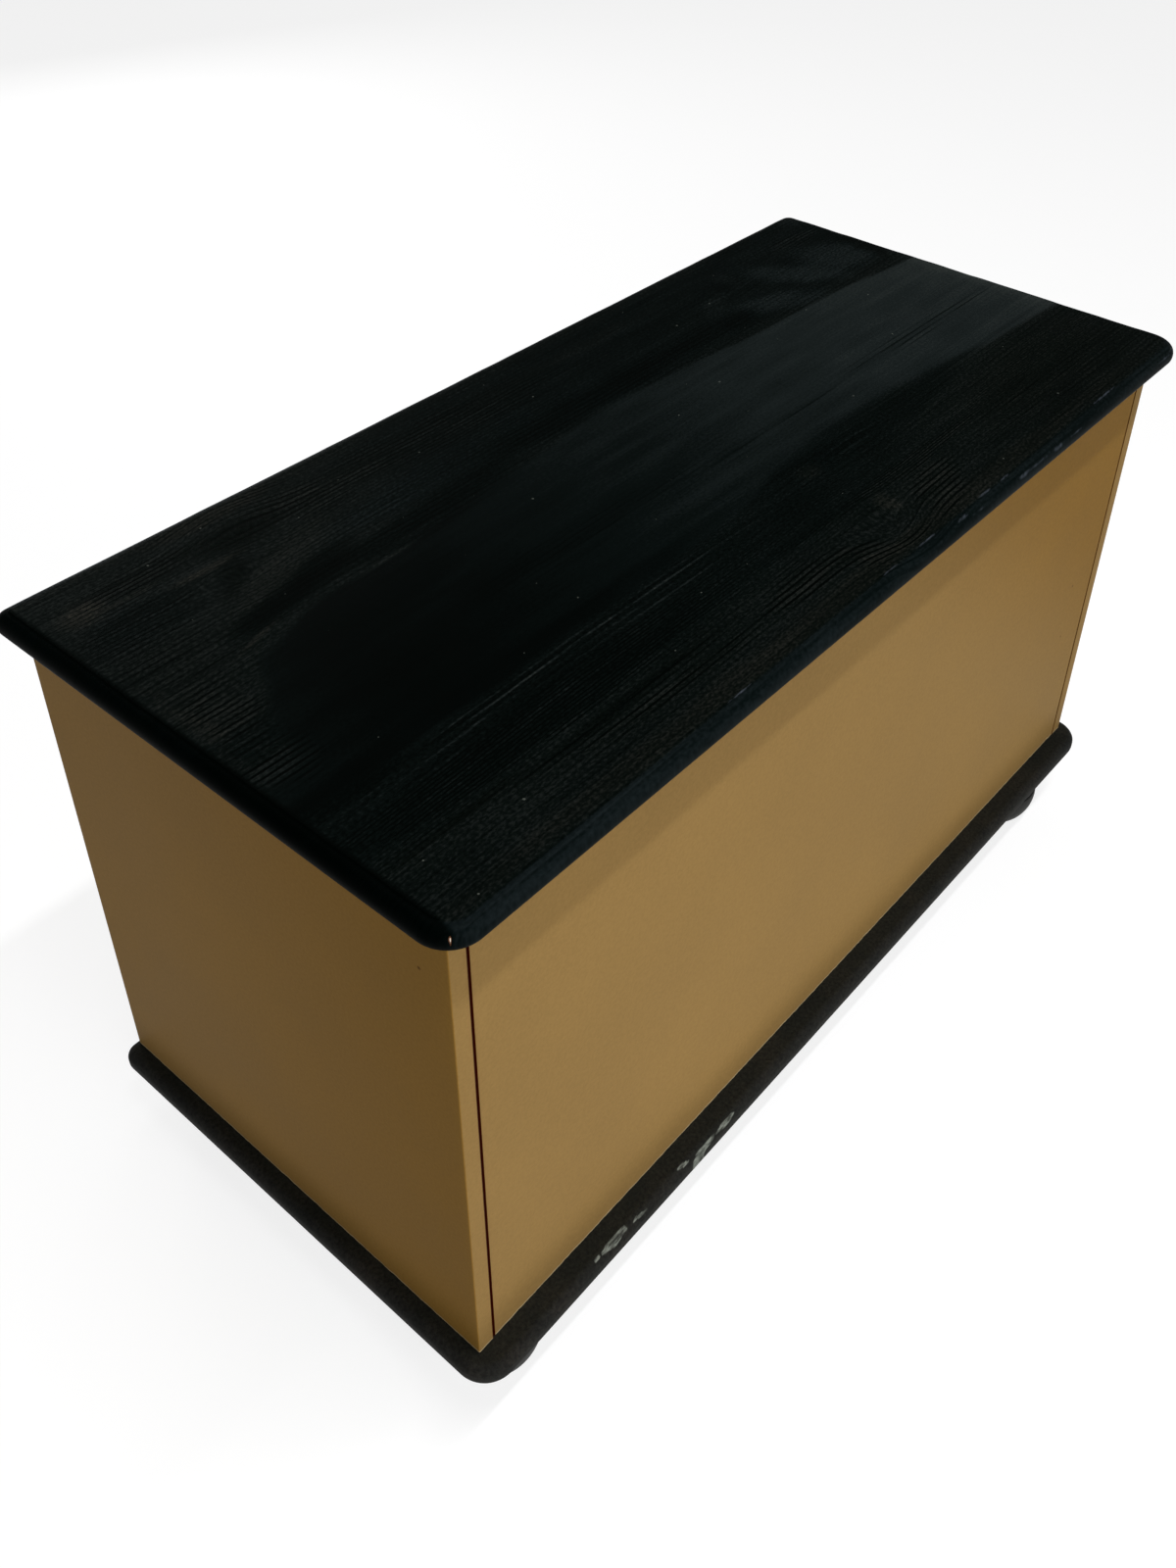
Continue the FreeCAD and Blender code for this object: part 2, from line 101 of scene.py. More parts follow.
class ChestColours(bpy.types.PropertyGroup):
    gold: colour("Gold paint", "Paint on the box", "#957747")
    # Painted shade: the darker, more orange gold of the front's upper right and the sides' front
    shaded_gold: colour("Yellowed paint", "Side panels' paint towards the front", "#9B7537")
    # The lighter gold of the sides' back, out of the painted shade
    side_gold_back: colour("Faded paint", "Side panels' paint towards the back", "#A4814C")
    gap: colour("Joint gap", "Grime in the left front joint", "#3A0B00")
    seam: colour("Joint seam", "Dried paint in the right front joint", "#5A3A1C")
    # Painted highlight: the pale line along the foot of the panels
    rim: colour("Pale rim", "Filler line along the foot of the panels", "#C2B493")
    base: colour("Base paint", "Paint on the base board", "#1A1A14")
    foot: colour("Foot paint", "Paint on the feet, and on the base's rounded edge", "#1A1A17")
    chip: colour("Chipped paint", "Filler that shows where paint is knocked off", "#80857C")
    chip_wood: colour("Chipped wood", "Wood that shows in the lid's chip", "#E2D5C4")
    # Also the colour of the painted highlight along the mid band of the lid's edge
    scuff: colour("Edge scuff", "Blue-grey rub on the lid's rounded edge", "#7F8897")
    fringe: colour("Chip fringe", "Thin stain round the lid's chip", "#5E3B26")
    pine: colour("Pine", "Bare planed pine", "#C79C68")
    pine_late: colour("Pine latewood", "Darker growth rings of the pine", "#A26F3A")
    brass: colour("Brass", "Hinge leaves", "#B49A5C")
    zinc: colour("Zinc", "Screws, pins and bolts", "#A6A7A4")
    floor: colour("Floor", "Plain pale floor", "#FFFFFF")


# Meshes

def make_piece(name, points, faces, material, body, replaced, sharp):
    """Mesh object from points and faces, smooth but for edges sharper than an angle."""
    mesh = bpy.data.meshes.new(name)
    mesh.from_pydata(points.tolist(), [], [tuple(face) for face in faces])
    if mesh.validate():
        raise RuntimeError(name + " has broken faces")
    mesh.polygons.foreach_set("use_smooth", np.ones(len(mesh.polygons), bool))
    mesh.set_sharp_from_angle(angle=math.radians(sharp))
    mesh.materials.append(material)
    piece = bpy.data.objects.new(name, mesh)
    bpy.context.scene.collection.objects.link(piece)
    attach(piece, body)
    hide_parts(*replaced)
    return piece


def store(piece, name, values):
    """Keep one number per point of a mesh, for its material to read."""
    layer = piece.data.attributes.new(name, "FLOAT", "POINT")
    layer.data.foreach_set("value", np.ascontiguousarray(values, np.float32).ravel())


def store_both(piece, fields, under=1):
    """Keep fields of a board's grid on both its sheets, times a number on the inner one."""
    for name, values in fields.items():
        store(piece, name, np.concatenate([values.ravel(), under * values.ravel()]))


def closed_pair(outer, inner):
    """Points and quads of a closed board between two sheets of points.

    Both sheets have the same rows and columns. The outer one faces out, the inner one
    is turned round, and a strip of quads joins their rims.
    """
    rows, columns = outer.shape[:2]
    index = np.arange(rows * columns).reshape(rows, columns)
    sheet = np.stack([index[:-1, :-1], index[1:, :-1], index[1:, 1:], index[:-1, 1:]], -1)
    sheet = sheet.reshape(-1, 4)
    rim = np.concatenate([index[:-1, 0], index[-1, :-1], index[:0:-1, -1], index[0, :0:-1]])
    following = np.roll(rim, -1)
    low = index.size
    walls = np.stack([rim + low, following + low, following, rim], -1)
    points = np.concatenate([outer.reshape(-1, 3), inner.reshape(-1, 3)])
    return points, np.concatenate([sheet, sheet[:, ::-1] + low, walls])


def turned(radius, depth, segments, place, into):
    """Points and faces of a closed turned shape.

    Ring n has the given radius and lies the given depth along the axis, and each may
    also vary round the ring. Point s of it stands at s / segments of a turn. The first
    and last rings close on single points on the axis.
    """
    into = np.asarray(into, float)
    helper = np.array([1.0, 0, 0]) if abs(into[0]) < 0.9 else np.array([0, 1.0, 0])
    side = np.cross(into, helper)
    side /= np.linalg.norm(side)
    other = np.cross(-into, side)
    angle = np.arange(segments) * TURN / segments
    radius = np.broadcast_to(radius, (len(radius), segments))
    depth = np.broadcast_to(depth, (len(depth), segments))
    rings = (side * (radius * np.cos(angle))[..., None]
             + other * (radius * np.sin(angle))[..., None] + into * depth[..., None])
    ends = np.stack([into * depth[0].mean(), into * depth[-1].mean()])
    points = np.concatenate([rings.reshape(-1, 3), ends]) + np.asarray(place, float)
    count = len(radius)
    index = np.arange(count * segments).reshape(count, segments)
    turned_on = np.roll(index, -1, axis=1)
    quads = np.stack([index[:-1], index[1:], turned_on[1:], turned_on[:-1]], -1)
    first, last = index.size, index.size + 1
    faces = quads.reshape(-1, 4).tolist()
    faces += [(first, a, b) for a, b in zip(index[0].tolist(), turned_on[0].tolist())]
    faces += [(a, last, b) for a, b in zip(index[-1].tolist(), turned_on[-1].tolist())]
    return points, faces


def merged(shapes):
    """Several closed shapes as one set of points and faces."""
    points, faces, start = [], [], 0
    for shape_points, shape_faces in shapes:
        points.append(shape_points)
        faces += [tuple(corner + start for corner in face) for face in shape_faces]
        start += len(shape_points)
    return np.concatenate(points), faces


# Cells of the noise before it repeats, along and across
NOISE_CELLS = (97, 89)


def soft_noise(x, y, cell_x, cell_y, seed):
    """Value noise from -1 to 1.

    Random values stand on a lattice of the given cells, and a point takes the mean of
    its cell's four, each weighted by 3t^2 - 2t^3 along both sides.
    """
    table = np.random.default_rng(seed).uniform(-1, 1, NOISE_CELLS)
    u, v = x / cell_x, y / cell_y
    i, j = np.floor(u).astype(int), np.floor(v).astype(int)
    s, t = ease(u - i, 0, 1), ease(v - j, 0, 1)
    across, along = NOISE_CELLS
    i0, i1, j0, j1 = i % across, (i + 1) % across, j % along, (j + 1) % along
    low = table[i0, j0] * (1 - s) + table[i1, j0] * s
    high = table[i0, j1] * (1 - s) + table[i1, j1] * s
    return low * (1 - t) + high * t


def noise_sum(x, y, layers):
    """Sum of noises, each: strength, cell along and across, and seed."""
    return sum(strength * soft_noise(x, y, *cells_and_seed)
               for strength, *cells_and_seed in layers)


def ease(value, start, end):
    """Smooth step from 0 at start to 1 at end."""
    t = np.clip((value - start) / (end - start), 0, 1)
    return t * t * (3 - 2 * t)


def joined_box(*names):
    """Lowest and highest corner round several CAD nodes."""
    boxes = np.array([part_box(name) for name in names])
    return boxes[:, 0].min(axis=0), boxes[:, 1].max(axis=0)


# Boards with rounded edges

def plan_grid(outline, corners, insets, inner_columns, inner_rows, front_rim, back_rim):
    """Plan points of one board of a slab, and how far each lies inside its outline.

    Rows and columns beside a rim follow the outline at the given insets, and the front
    and back corners' radii are among those. The line at inset d turns a corner of
    radius R on the arc of radius R - d about the corner's centre, and point n of its
    half arc of m points stands 45 (1 - n / m) degrees off the side's normal.
    """
    left, right, front, back = outline
    last = len(insets) - 1
    xs = np.concatenate([left + insets, inner_columns, right - insets[::-1]])
    ys = [inner_rows]
    if front_rim:
        ys.insert(0, front + insets)
    if back_rim:
        ys.append(back - insets[::-1])
    ys = np.concatenate(ys)
    across, along = np.arange(len(xs)), np.arange(len(ys))
    from_end = np.minimum(np.minimum(across, across[::-1]), last)
    from_front = along if front_rim else np.full(len(ys), last)
    from_back = along[::-1] if back_rim else np.full(len(ys), last)
    from_side = np.minimum(np.minimum(from_front, from_back), last)
    a, b = np.meshgrid(from_end, from_side, indexing="ij")
    x, y = np.meshgrid(xs, ys, indexing="ij")
    ring = np.minimum(a, b)
    inset = insets[ring]
    side_x = np.where(across < len(xs) / 2, -1, 1)[:, None]
    side_y = np.where(from_front <= from_back, -1, 1)[None, :]
    front_reach, back_reach = [int(np.abs(insets - corner).argmin()) for corner in corners]
    reach = np.where(side_y < 0, front_reach, back_reach)
    corner = insets[reach]
    centre_x = np.where(side_x < 0, left + corner, right - corner)
    centre_y = np.where(side_y < 0, front + corner, back - corner)
    step = (np.maximum(a, b) - ring) / np.maximum(reach - ring, 1)
    angle = math.radians(45) * (1 - step)
    main, cross = (corner - inset) * np.cos(angle), (corner - inset) * np.sin(angle)
    in_corner = (a < reach) & (b < reach)
    x = np.where(in_corner, centre_x + side_x * np.where(a <= b, main, cross), x)
    y = np.where(in_corner, centre_y + side_y * np.where(a <= b, cross, main), y)
    return x, y, inset


def board_plan(low, high, front, back, front_rim, back_rim, corners, insets, pitch, edges=()):
    """Plan points and insets of the board of a slab that lies from front to back.

    Between its rims the lines stand about a pitch apart, and at the given edges.
    """
    rim = insets[-1]
    columns = even_rows(low[0] + rim, high[0] - rim, pitch[0], edges)
    first, last = front + rim * front_rim, back - rim * back_rim
    rows = [even_rows(first, last, pitch[1])]
    if not front_rim:
        rows.insert(0, [front])
    if not back_rim:
        rows.append([back])
    outline = (low[0], high[0], low[1], high[1])
    return plan_grid(outline, corners, insets, columns, np.concatenate(rows), front_rim, back_rim)


def rounding(inset, radius):
    """How far a quarter round of a radius lies below its flat, at an inset."""
    reach = radius - np.minimum(inset, radius)
    return radius - np.sqrt(np.maximum(radius * radius - reach * reach, 0))


def edge_insets(top_round, others, corners):
    """Insets at even turns of the upper round, and others up to the widest corner."""
    turns = top_round * (1 - np.cos(np.radians(np.linspace(0, 90, 13))))
    every = np.unique(np.round(np.concatenate([turns, others, corners]), 7))
    return every[every <= max(corners) + 1e-6]


def even_rows(start, end, pitch, extra=()):
    """Values between two ends, without them, about a pitch apart, with extra ones."""
    count = max(int(round((end - start) / pitch)), 1)
    values = np.linspace(start, end, count + 1)[1:-1]
    extra = np.array([v for v in extra if start < v < end])
    if len(extra):
        gap = np.abs(values[:, None] - extra[None, :]).min(axis=1)
        values = np.concatenate([values[gap > 0.2 * pitch], extra])
    return np.sort(values)


# Grain of the lid, in millimetres. Each knot: middle, reach along and across, and how
# far it pushes the grain up and down.
LID_KNOTS = (
    (-292, 167, 50, 30, 13, 4),
    (-331, 130, 32, 14, 7, 7),
    (26, -163, 38, 28, 4, 12.5),
    (262, 153, 34, 16, 6, 5),
    (-226, -147, 150, 55, 5, 0),
    (105, -97, 60, 16, 5, 2),
)
# Distance between growth lines: a place across the lid, and the distance there
LID_GRAIN_ROWS = (
    (-227, 5.5), (-187, 4.8), (-155, 4.6), (-149, 2.5), (-121, 2.5), (-118, 5.8),
    (-93, 6.0), (-67, 5.2), (43, 5.2), (93, 6.0), (121, 4.2), (153, 3.6), (163, 4.4),
    (233, 4.4),
)
# Upper and lower edges of the smooth middle of the lid, and how light it is along it,
# partly built-up stain and partly a painted reflection that grows to the right
SMOOTH_TOP = ((-470, -62), (-425, -45), (-400, 5), (-380, 41), (-328, 59), (-230, 63), (-150, 75),
              (0, 89), (50, 92), (150, 82), (233, 77), (300, 75), (417, 65), (470, 57))
SMOOTH_FOOT = ((-470, -85), (-368, -90), (-40, -89), (30, -74), (120, -68), (210, -72), (280, -82),
               (350, -92), (470, -99))
SMOOTH_SHEEN = ((-470, -0.3), (-400, -0.7), (-330, -1.25), (-230, -0.85), (-168, -0.4),
               (-35, 0.15), (100, 0.52), (200, 0.78), (300, 0.92), (400, 1.08), (470, 1.3))
# Patches of the stain: middle, half length, half width, turn in degrees, how much
# lighter, how much warmer, and how strong the growth lines are: dark below 0, pale above
LID_PATCHES = (
    (-430, 171, 18, 16, 0, 0.6, 0.6, -0.3),
    (-395, 163, 24, 3, 0, 0.5, 0.4, 0.0),
    (-380, 179, 40, 12, 0, -0.35, 0.1, -1.6),
    (-300, 202, 50, 8, 0, 0.35, 0.6, -0.7),
    (-298, 169, 34, 18, 0, -0.7, 0.2, -0.5),
    (-245, 175, 36, 22, -30, -0.3, 0.1, -1.4),
    (-110, 171, 130, 22, 0, -0.1, 0.3, -1.1),
    (-338, 150, 32, 4, 0, 0.5, 0.7, 0.0),
    (-331, 130, 29, 10, 42, -0.7, 0.2, -0.1),
    (-300, 114, 70, 17, 24, 0.2, 0.3, -0.2),
    (-335, 81, 40, 12, 10, -1.4, -0.3, 0.0),
    (-284, 91, 34, 15, 24, -1.0, -0.2, -0.2),
    (-195, 83, 90, 16, 2, -0.9, -0.3, -0.3),
    (-120, 123, 150, 16, 2, 0.0, -0.4, -0.2),
    (-208, 75, 30, 1.3, 0, 0.9, 0.3, 0.0),
    (-252, 63.5, 32, 1.4, 4, 0.9, 0.3, 0.0),
    (-361, 63, 28, 2.4, 16, 0.6, 0.6, 0.0),
    (-405, 134, 40, 26, 0, -0.25, -0.2, -0.7),
    (-416, 75, 36, 36, 0, 0.0, 0.1, -0.3),
    (-430, 18, 20, 34, 0, 0.1, 0.2, -1.2),
    (-430, -43, 20, 20, 0, 0.2, 0.2, -1.5),
    (-448, 11, 7, 70, 0, 0.25, 0.3, 0.0),
    (-346, -35, 70, 46, 0, -0.25, 0.1, 0.0),
    (-430, -87, 60, 12, 0, -0.9, 0.0, 0.0),
    (-140, -17, 150, 14, -2, -0.25, 0.0, -0.3),
    (-150, -81, 150, 9, 0, -0.4, -0.3, 0.0),
    (-240, -104, 190, 13, 0, -0.2, 0.0, 1.05),
    (-280, -133, 165, 17, 0, -0.4, 0.0, -1.1),
    (-400, -157, 50, 3, 0, -0.6, 0.3, -0.3),
    (-250, -163, 100, 5, 0, -0.8, 0.1, -0.5),
    (-231, -178, 80, 6, -2, -0.3, 0.2, -1.4),
    (-66, -176, 44, 13, 0, -0.1, 0.2, -2.0),
    (-14, -189, 22, 12, -38, -0.1, 0.3, -1.8),
    (24, -202, 26, 8, 0, 0.0, 0.4, -1.2),
    (100, 178, 120, 8, 0, 0.1, 0.3, 0.5),
    (60, 107, 150, 15, 0, -0.6, -0.3, -0.4),
    (50, 93, 60, 2.5, 0, 0.35, 0.0, 0.0),
    (235, 142, 30, 13, 38, 0.4, 0.1, 0.0),
    (284, 166, 10, 12, 0, 0.45, 0.1, 0.0),
    (226, 107, 24, 15, 0, -0.4, -0.2, 0.0),
    (285, 100, 50, 17, -22, 0.95, -0.6, 0.0),
    (343, 126, 54, 19, -48, 1.0, -0.6, 0.0),
    (407, 121, 42, 32, -35, 1.05, -0.6, 0.0),
    (412, 171, 42, 11, 0, 0.2, 0.2, -1.2),
    (447, 113, 11, 32, 0, -0.5, 0.6, 0.0),
    # Painted highlight: glints along the crease of the right end
    (456, 5, 12, 90, 0, 0.35, 0.0, 0.0),
    (110, -31, 110, 3, 0, -0.35, 0.0, -0.4),
    (330, -29, 110, 11, -2, -0.2, 0.0, -0.6),
    (340, -85, 110, 3, -1, -0.5, 0.0, 0.0),
    (160, -89, 130, 22, 0, -0.45, -0.2, 0.0),
    (105, -93, 58, 9, 0, 0.0, 0.0, 0.6),
    (46, -92, 12, 9, 0, 0.3, 0.6, 0.0),
    (55, -162, 9, 12, 0, 0.5, 0.5, 0.0),
    (102, -177, 40, 18, 30, 0.0, 0.3, -1.6),
    (110, -145, 110, 6, 0, -0.1, 0.2, -1.2),
    (340, -152, 130, 50, 0, -0.3, 0.4, -0.15),
    (0, -203, 460, 9, 0, 0.15, 0.6, 0.0),
    (0, 209, 460, 9, 0, 0.25, 0.4, 0.0),
    (452, 205, 26, 12, 0, 0.6, 0.0, 0.0),
    (-330, -128, 150, 24, 0, -0.25, 0.0, -0.3),
)
# Layers of noise in millimetres: how the grain wanders, how ragged the smooth middle's
# edges are, how the patches' outlines bend along and across, and the stain's mottle
WANDER = ((2.4, 260, 60, 3), (0.9, 90, 24, 4), (0.3, 28, 9, 5))
RAGGED = ((1.6, 70, 14, 6), (0.9, 24, 5, 7))
BEND_ALONG = ((7, 60, 16, 8),)
BEND_ACROSS = ((2.6, 48, 11, 9), (1.1, 17, 4, 10))
MOTTLE = ((0.18, 130, 7, 11), (0.16, 38, 12, 12))
# A patch narrower than this keeps most of its straight outline
NARROW_PATCH = 5
# The patches' growth lines are drawn this much stronger, within these limits
LINE_GAIN = 1.3
LINE_LIMITS = (-2.7, 1.5)


def lid_grain(x, y):
    """Grain and stain of the lid at a place in millimetres.

    A growth line is where y, less the push of each knot, is constant. A knot pushes by
    its height times exp(-u^2) v exp((1 - v^2) / 2), u and v its scaled distances. The
    count of lines is the sum of that place over the distance between lines. A patch
    weighs exp(-d^4), d its scaled distance, and what the patches weigh is added up.
    """
    across = y + noise_sum(x, y, WANDER)
    for middle_x, middle_y, reach_x, reach_y, up, down in LID_KNOTS:
        u, v = (x - middle_x) / reach_x, (y - middle_y) / reach_y
        push = np.where(v > 0, up, down) * np.exp(-u * u)
        across = across - push * v * np.exp((1 - v * v) / 2)
    starts, gaps = np.array(LID_GRAIN_ROWS, float).T
    steps = np.diff(starts) * (1 / gaps[1:] + 1 / gaps[:-1]) / 2
    count = np.interp(across, starts, np.concatenate([[0], np.cumsum(steps)]))
    coarse = ease(np.interp(across, starts, gaps), 3, 4)
    ragged = noise_sum(x, y, RAGGED)
    top = np.interp(x, *np.array(SMOOTH_TOP, float).T) + ragged
    foot = np.interp(x, *np.array(SMOOTH_FOOT, float).T) + ragged
    # The smooth middle fades over this at its foot, more to the right, and at its top,
    # more to the left
    soft = 3.5 + 6 * ease(x, 0, 90) * (1 - ease(x, 290, 360))
    above = 2.5 + 9 * (1 - ease(x, -400, -320))
    smooth = ease(y, foot - soft, foot + soft) * (1 - ease(y, top - above, top + above))
    rough = 1 - smooth
    # The smooth middle is lighter to the right: partly stain, partly painted reflection
    tone = smooth * np.interp(x, *np.array(SMOOTH_SHEEN, float).T)
    # Deeper, greener stain behind the middle, and before it on the left
    green = np.maximum(ease(y, 60, 110) * ease(x, -270, -90),
                       0.7 * ease(y, -160, -140) * (1 - ease(x, 60, 200)) * (y < 0))
    tone = tone + rough * (0.02 + 0.12 * ease(y, 40, 120) - 0.5 * green)
    warm, line = (0.45 - 0.35 * green) * rough, -0.25 * rough
    bent_x, bent_y = x + noise_sum(x, y, BEND_ALONG), y + noise_sum(x, y, BEND_ACROSS)
    for middle_x, middle_y, long_half, wide_half, turn, lighter, warmer, lines in LID_PATCHES:
        c, s = math.cos(math.radians(turn)), math.sin(math.radians(turn))
        far_x = bent_x - middle_x
        far_y = (bent_y if wide_half > NARROW_PATCH else 0.7 * y + 0.3 * bent_y) - middle_y
        square = (((far_x * c + far_y * s) / long_half) ** 2
                  + ((far_y * c - far_x * s) / wide_half) ** 2)
        weight = np.exp(-square * square)
        tone = tone + lighter * weight
        warm = warm + warmer * weight
        line = line + LINE_GAIN * lines * weight
    tone = tone + noise_sum(x, y, MOTTLE)
    return {"across": across * MM, "rings": count, "coarse": coarse, "smooth": smooth,
            "tone": tone, "warm": np.clip(warm, 0, 1), "line": np.clip(line, *LINE_LIMITS)}


# Wear on the lid's edge in millimetres: along, inset, half length, half height. The
# long thin marks along the mid band are a painted highlight
LID_EDGE_WEAR_AND_HIGHLIGHT = (
    (166, 1.6, 9, 0.9), (224, 1.3, 8, 0.9), (146, 8.8, 7, 0.8), (115, 9.0, 9, 0.8),
    (75, 5.0, 7, 1.1), (190, 1.5, 20, 0.4), (255, 1.4, 12, 0.4), (95, 2.2, 16, 0.4),
    (-20, 9.2, 10, 0.4), (30, 9.2, 14, 0.5), (320, 9.1, 20, 0.7), (-200, 9.2, 12, 0.4),
    (428, 1.4, 12, 0.5), (447, 3.0, 9, 0.5), (440, 6.2, 8, 0.5),
)
# Chip at the lid's front left corner: angle round it in degrees, inset, half width and
# half height
LID_CHIP = (46.5, 0.9, 0.7, 0.8)
# Lines of the lid's grid beside its step, and its pitch along and across
LID_STEP_LINES = (-0.5, -0.2, 0.1, 0.4, 0.9, 2.1, 6.0, 8.5, 11.5)
LID_PITCH = (3.0 * MM, 1.5 * MM)
# Wear and knocks lie this near the front edge
EDGE_BAND = 20 * MM
# Half of how far the lid's flat and its edge are out of true, and the chip's depth
LID_WARP = 0.12 * MM
EDGE_UNEVEN = 0.22 * MM
CHIP_DEPTH = 0.5 * MM


def edge_wear_and_highlight(x, inset):
    """Strongest of several ragged worn places and painted highlights, each exp(-d^2) of its scaled
    distance d.
    """
    wear_and_highlight = np.zeros_like(x)
    for along, depth, half_long, half_high in LID_EDGE_WEAR_AND_HIGHLIGHT:
        u, v = (x / MM - along) / half_long, (inset / MM - depth) / half_high
        wear_and_highlight = np.maximum(wear_and_highlight, np.exp(-(u * u + v * v)))
    return wear_and_highlight * (0.75 + 0.5 * soft_noise(x, inset, 3 * MM, 0.8 * MM, 13))


def corner_chip(from_x, from_y, inset, corner):
    """The chip: 1.5 less the scaled distance from its middle, within 0 and 1.

    The places are given from the centre of the lid's corner, whose arc has a radius.
    """
    degrees, chip_inset, chip_wide, chip_high = LID_CHIP
    arc = (np.arctan2(from_y, from_x) - math.radians(degrees)) * corner / MM
    chip = np.hypot(arc / chip_wide, (inset / MM - chip_inset) / chip_high)
    return np.clip(1.5 - chip, 0, 1) * ((from_x > 0) & (from_y > 0))


def make_lid_board(name, node, front, back, front_rim, back_rim, sizes, material):
    """One board of the lid, with its rounded edges, fine step, grain and hinge mortises.

    Heights follow from the inset d: the top is the flat less the round's fall at d, up
    by the step past its inset, less the grain's depth times (1 + cos(turns)) / 2.
    """
    low, high = joined_box("lid_board_front", "lid_board_middle", "lid_board_back")
    step_at = sizes.lid_step_inset
    # Each edge of the mortises stands between two lines of the grid
    slit = (-0.04 * MM, 0.04 * MM)
    pins_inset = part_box("lid_board_back")[1][1] - pin_place()[0]
    marks = [pins_inset + reach + s
             for reach in (-HINGE_BARREL_REACH, HINGE_BARREL_REACH, HINGE_LEAF_REACH)
             for s in slit]
    marks += [step_at + d * MM for d in LID_STEP_LINES]
    edges = [centre + side * half + s for centre in hinge_centres()
             for half in (HINGE_LEAF_ROOM, HINGE_BARREL_ROOM) for side in (-1, 1) for s in slit]
    corners = (sizes.lid_front_corner, sizes.lid_back_corner)
    insets = edge_insets(sizes.lid_top_round, marks, corners)
    x, y, inset = board_plan(low, high, front, back, front_rim, back_rim, corners, insets,
                             LID_PITCH, edges)
    fields = lid_grain(x / MM, y / MM)
    flat = ease(inset, step_at - 0.5 * MM, step_at + 0.4 * MM)
    inner = ease(inset, step_at, step_at + 3 * MM)
    top = high[2] - sizes.lid_step * (1 - flat) - rounding(inset, sizes.lid_top_round)
    groove = (0.5 + 0.5 * np.cos(TURN * fields["rings"])) * fields["coarse"]
    top = top - sizes.grain_depth * inner * np.clip(np.abs(fields["line"]), 0.1, 1) * groove
    top = top - LID_WARP * inner * (1 + soft_noise(x, y, 130 * MM, 50 * MM, 11))
    worn_edge = EDGE_UNEVEN * (1 + soft_noise(x, y, 21 * MM, 17 * MM, 12))
    top = top - worn_edge * ease(inset, 1.2 * MM, 4 * MM) * (1 - inner)
    near_front = y < low[1] + EDGE_BAND
    wear_and_highlight = edge_wear_and_highlight(x, inset) * near_front if front_rim else np.zeros_like(x)
    chip = corner_chip(low[0] + corners[0] - x, low[1] + corners[0] - y, inset, corners[0])
    top = top - CHIP_DEPTH * chip * (inset > 0.05 * MM)
    bottom = low[2] + rounding(inset, sizes.lid_bottom_round)
    if back_rim:
        bottom = np.maximum(bottom, low[2] + hinge_room(x, y))
    points, faces = closed_pair(np.stack([x, y, top], -1), np.stack([x, y, bottom], -1))
    piece = make_piece(name, points, faces, material, "lid", [node], sharp=50)
    # The rounded edge is smoother, and a little lighter as a painted reflection, less so to
    # the right; the left end is darker, a painted shade
    edge = 1 - ease(inset, step_at - 1 * MM, step_at)
    left = (1 - ease(x - low[0], 9.5 * MM, 13.5 * MM)) * ease(y - low[1], 3 * MM, 14 * MM)
    dim = 0.25 * ease(x, -0.2, 0.25)
    fields["tone"] = fields["tone"] + (0.42 - dim) * edge - 1.9 * left
    fields["smooth"] = np.maximum(fields["smooth"], 0.9 * edge)
    fields["warm"] = fields["warm"] * (1 - edge)
    fields.pop("coarse")
    store_both(piece, {**fields, "edge": edge})
    store_both(piece, {"wear_and_highlight": wear_and_highlight, "chip": chip}, under=0)
    return piece


# Hinge places, as the frame has them
HINGE_LEAF_ROOM = 37.8 * MM
HINGE_BARREL_ROOM = 38.6 * MM
HINGE_LEAF_REACH = 14.3 * MM
HINGE_BARREL_REACH = 3.3 * MM
HINGE_LEAF_SINK = 1.6 * MM


def hinge_centres():
    """Middle of each hinge along the chest, from the pins."""
    return [sum(corner[0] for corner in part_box("hinge_pin_" + side)) / 2
            for side in ("left", "right")]


def pin_place():
    """Distance back and height of the hinge pins' axis."""
    low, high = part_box("hinge_pin_left")
    return (low[1] + high[1]) / 2, (low[2] + high[2]) / 2


def hinge_room(x, y):
    """Depth let into the lid's underside for the hinges, at each plan point."""
    back = pin_place()[0]
    depth = np.zeros_like(x)
    for centre in hinge_centres():
        leaf = ((np.abs(x - centre) < HINGE_LEAF_ROOM) & (y > back - HINGE_LEAF_REACH)
                & (y < back + HINGE_BARREL_REACH))
        barrel = ((np.abs(x - centre) < HINGE_BARREL_ROOM)
                  & (np.abs(y - back) < HINGE_BARREL_REACH))
        depth = np.where(leaf, np.maximum(depth, HINGE_LEAF_SINK), depth)
        depth = np.where(barrel, HINGE_BARREL_REACH, depth)
    return depth


# Paint knocked off the base's front edge, in millimetres: along, inset, half length,
# half height, turn in degrees
BASE_SCUFFS = (
    (-320, 4.3, 15, 2.6, 0), (-340, 4.6, 3, 1.2, 0), (-292, 3.0, 9, 0.8, -6),
    (-236, 4.2, 6, 1.0, -8), (-211, 1.6, 15, 1.6, 4), (-181, 2.2, 12, 1.6, 0),
)
BASE_SCUFF_HOLES = ((-322, 4.6, 9, 1.1, 0), (-206, 3.9, 8, 1.0, 0), (-197, 3.4, 3.4, 1.6, 0))
# Lines of the base's grid past its rounds, and its pitch along and across
BASE_LINES = (9.0 * MM, 10.5 * MM, 14.5 * MM, 17 * MM, 20 * MM, 23.5 * MM)
BASE_PITCH = (2.6 * MM, 3.5 * MM)
# The paint is brushed on unevenly in marks of these layers
BRUSH_MARKS = ((0.3, 11 * MM, 4 * MM, 22), (0.2, 4 * MM, 2.5 * MM, 23))
KNOCK_DEPTH = 0.25 * MM


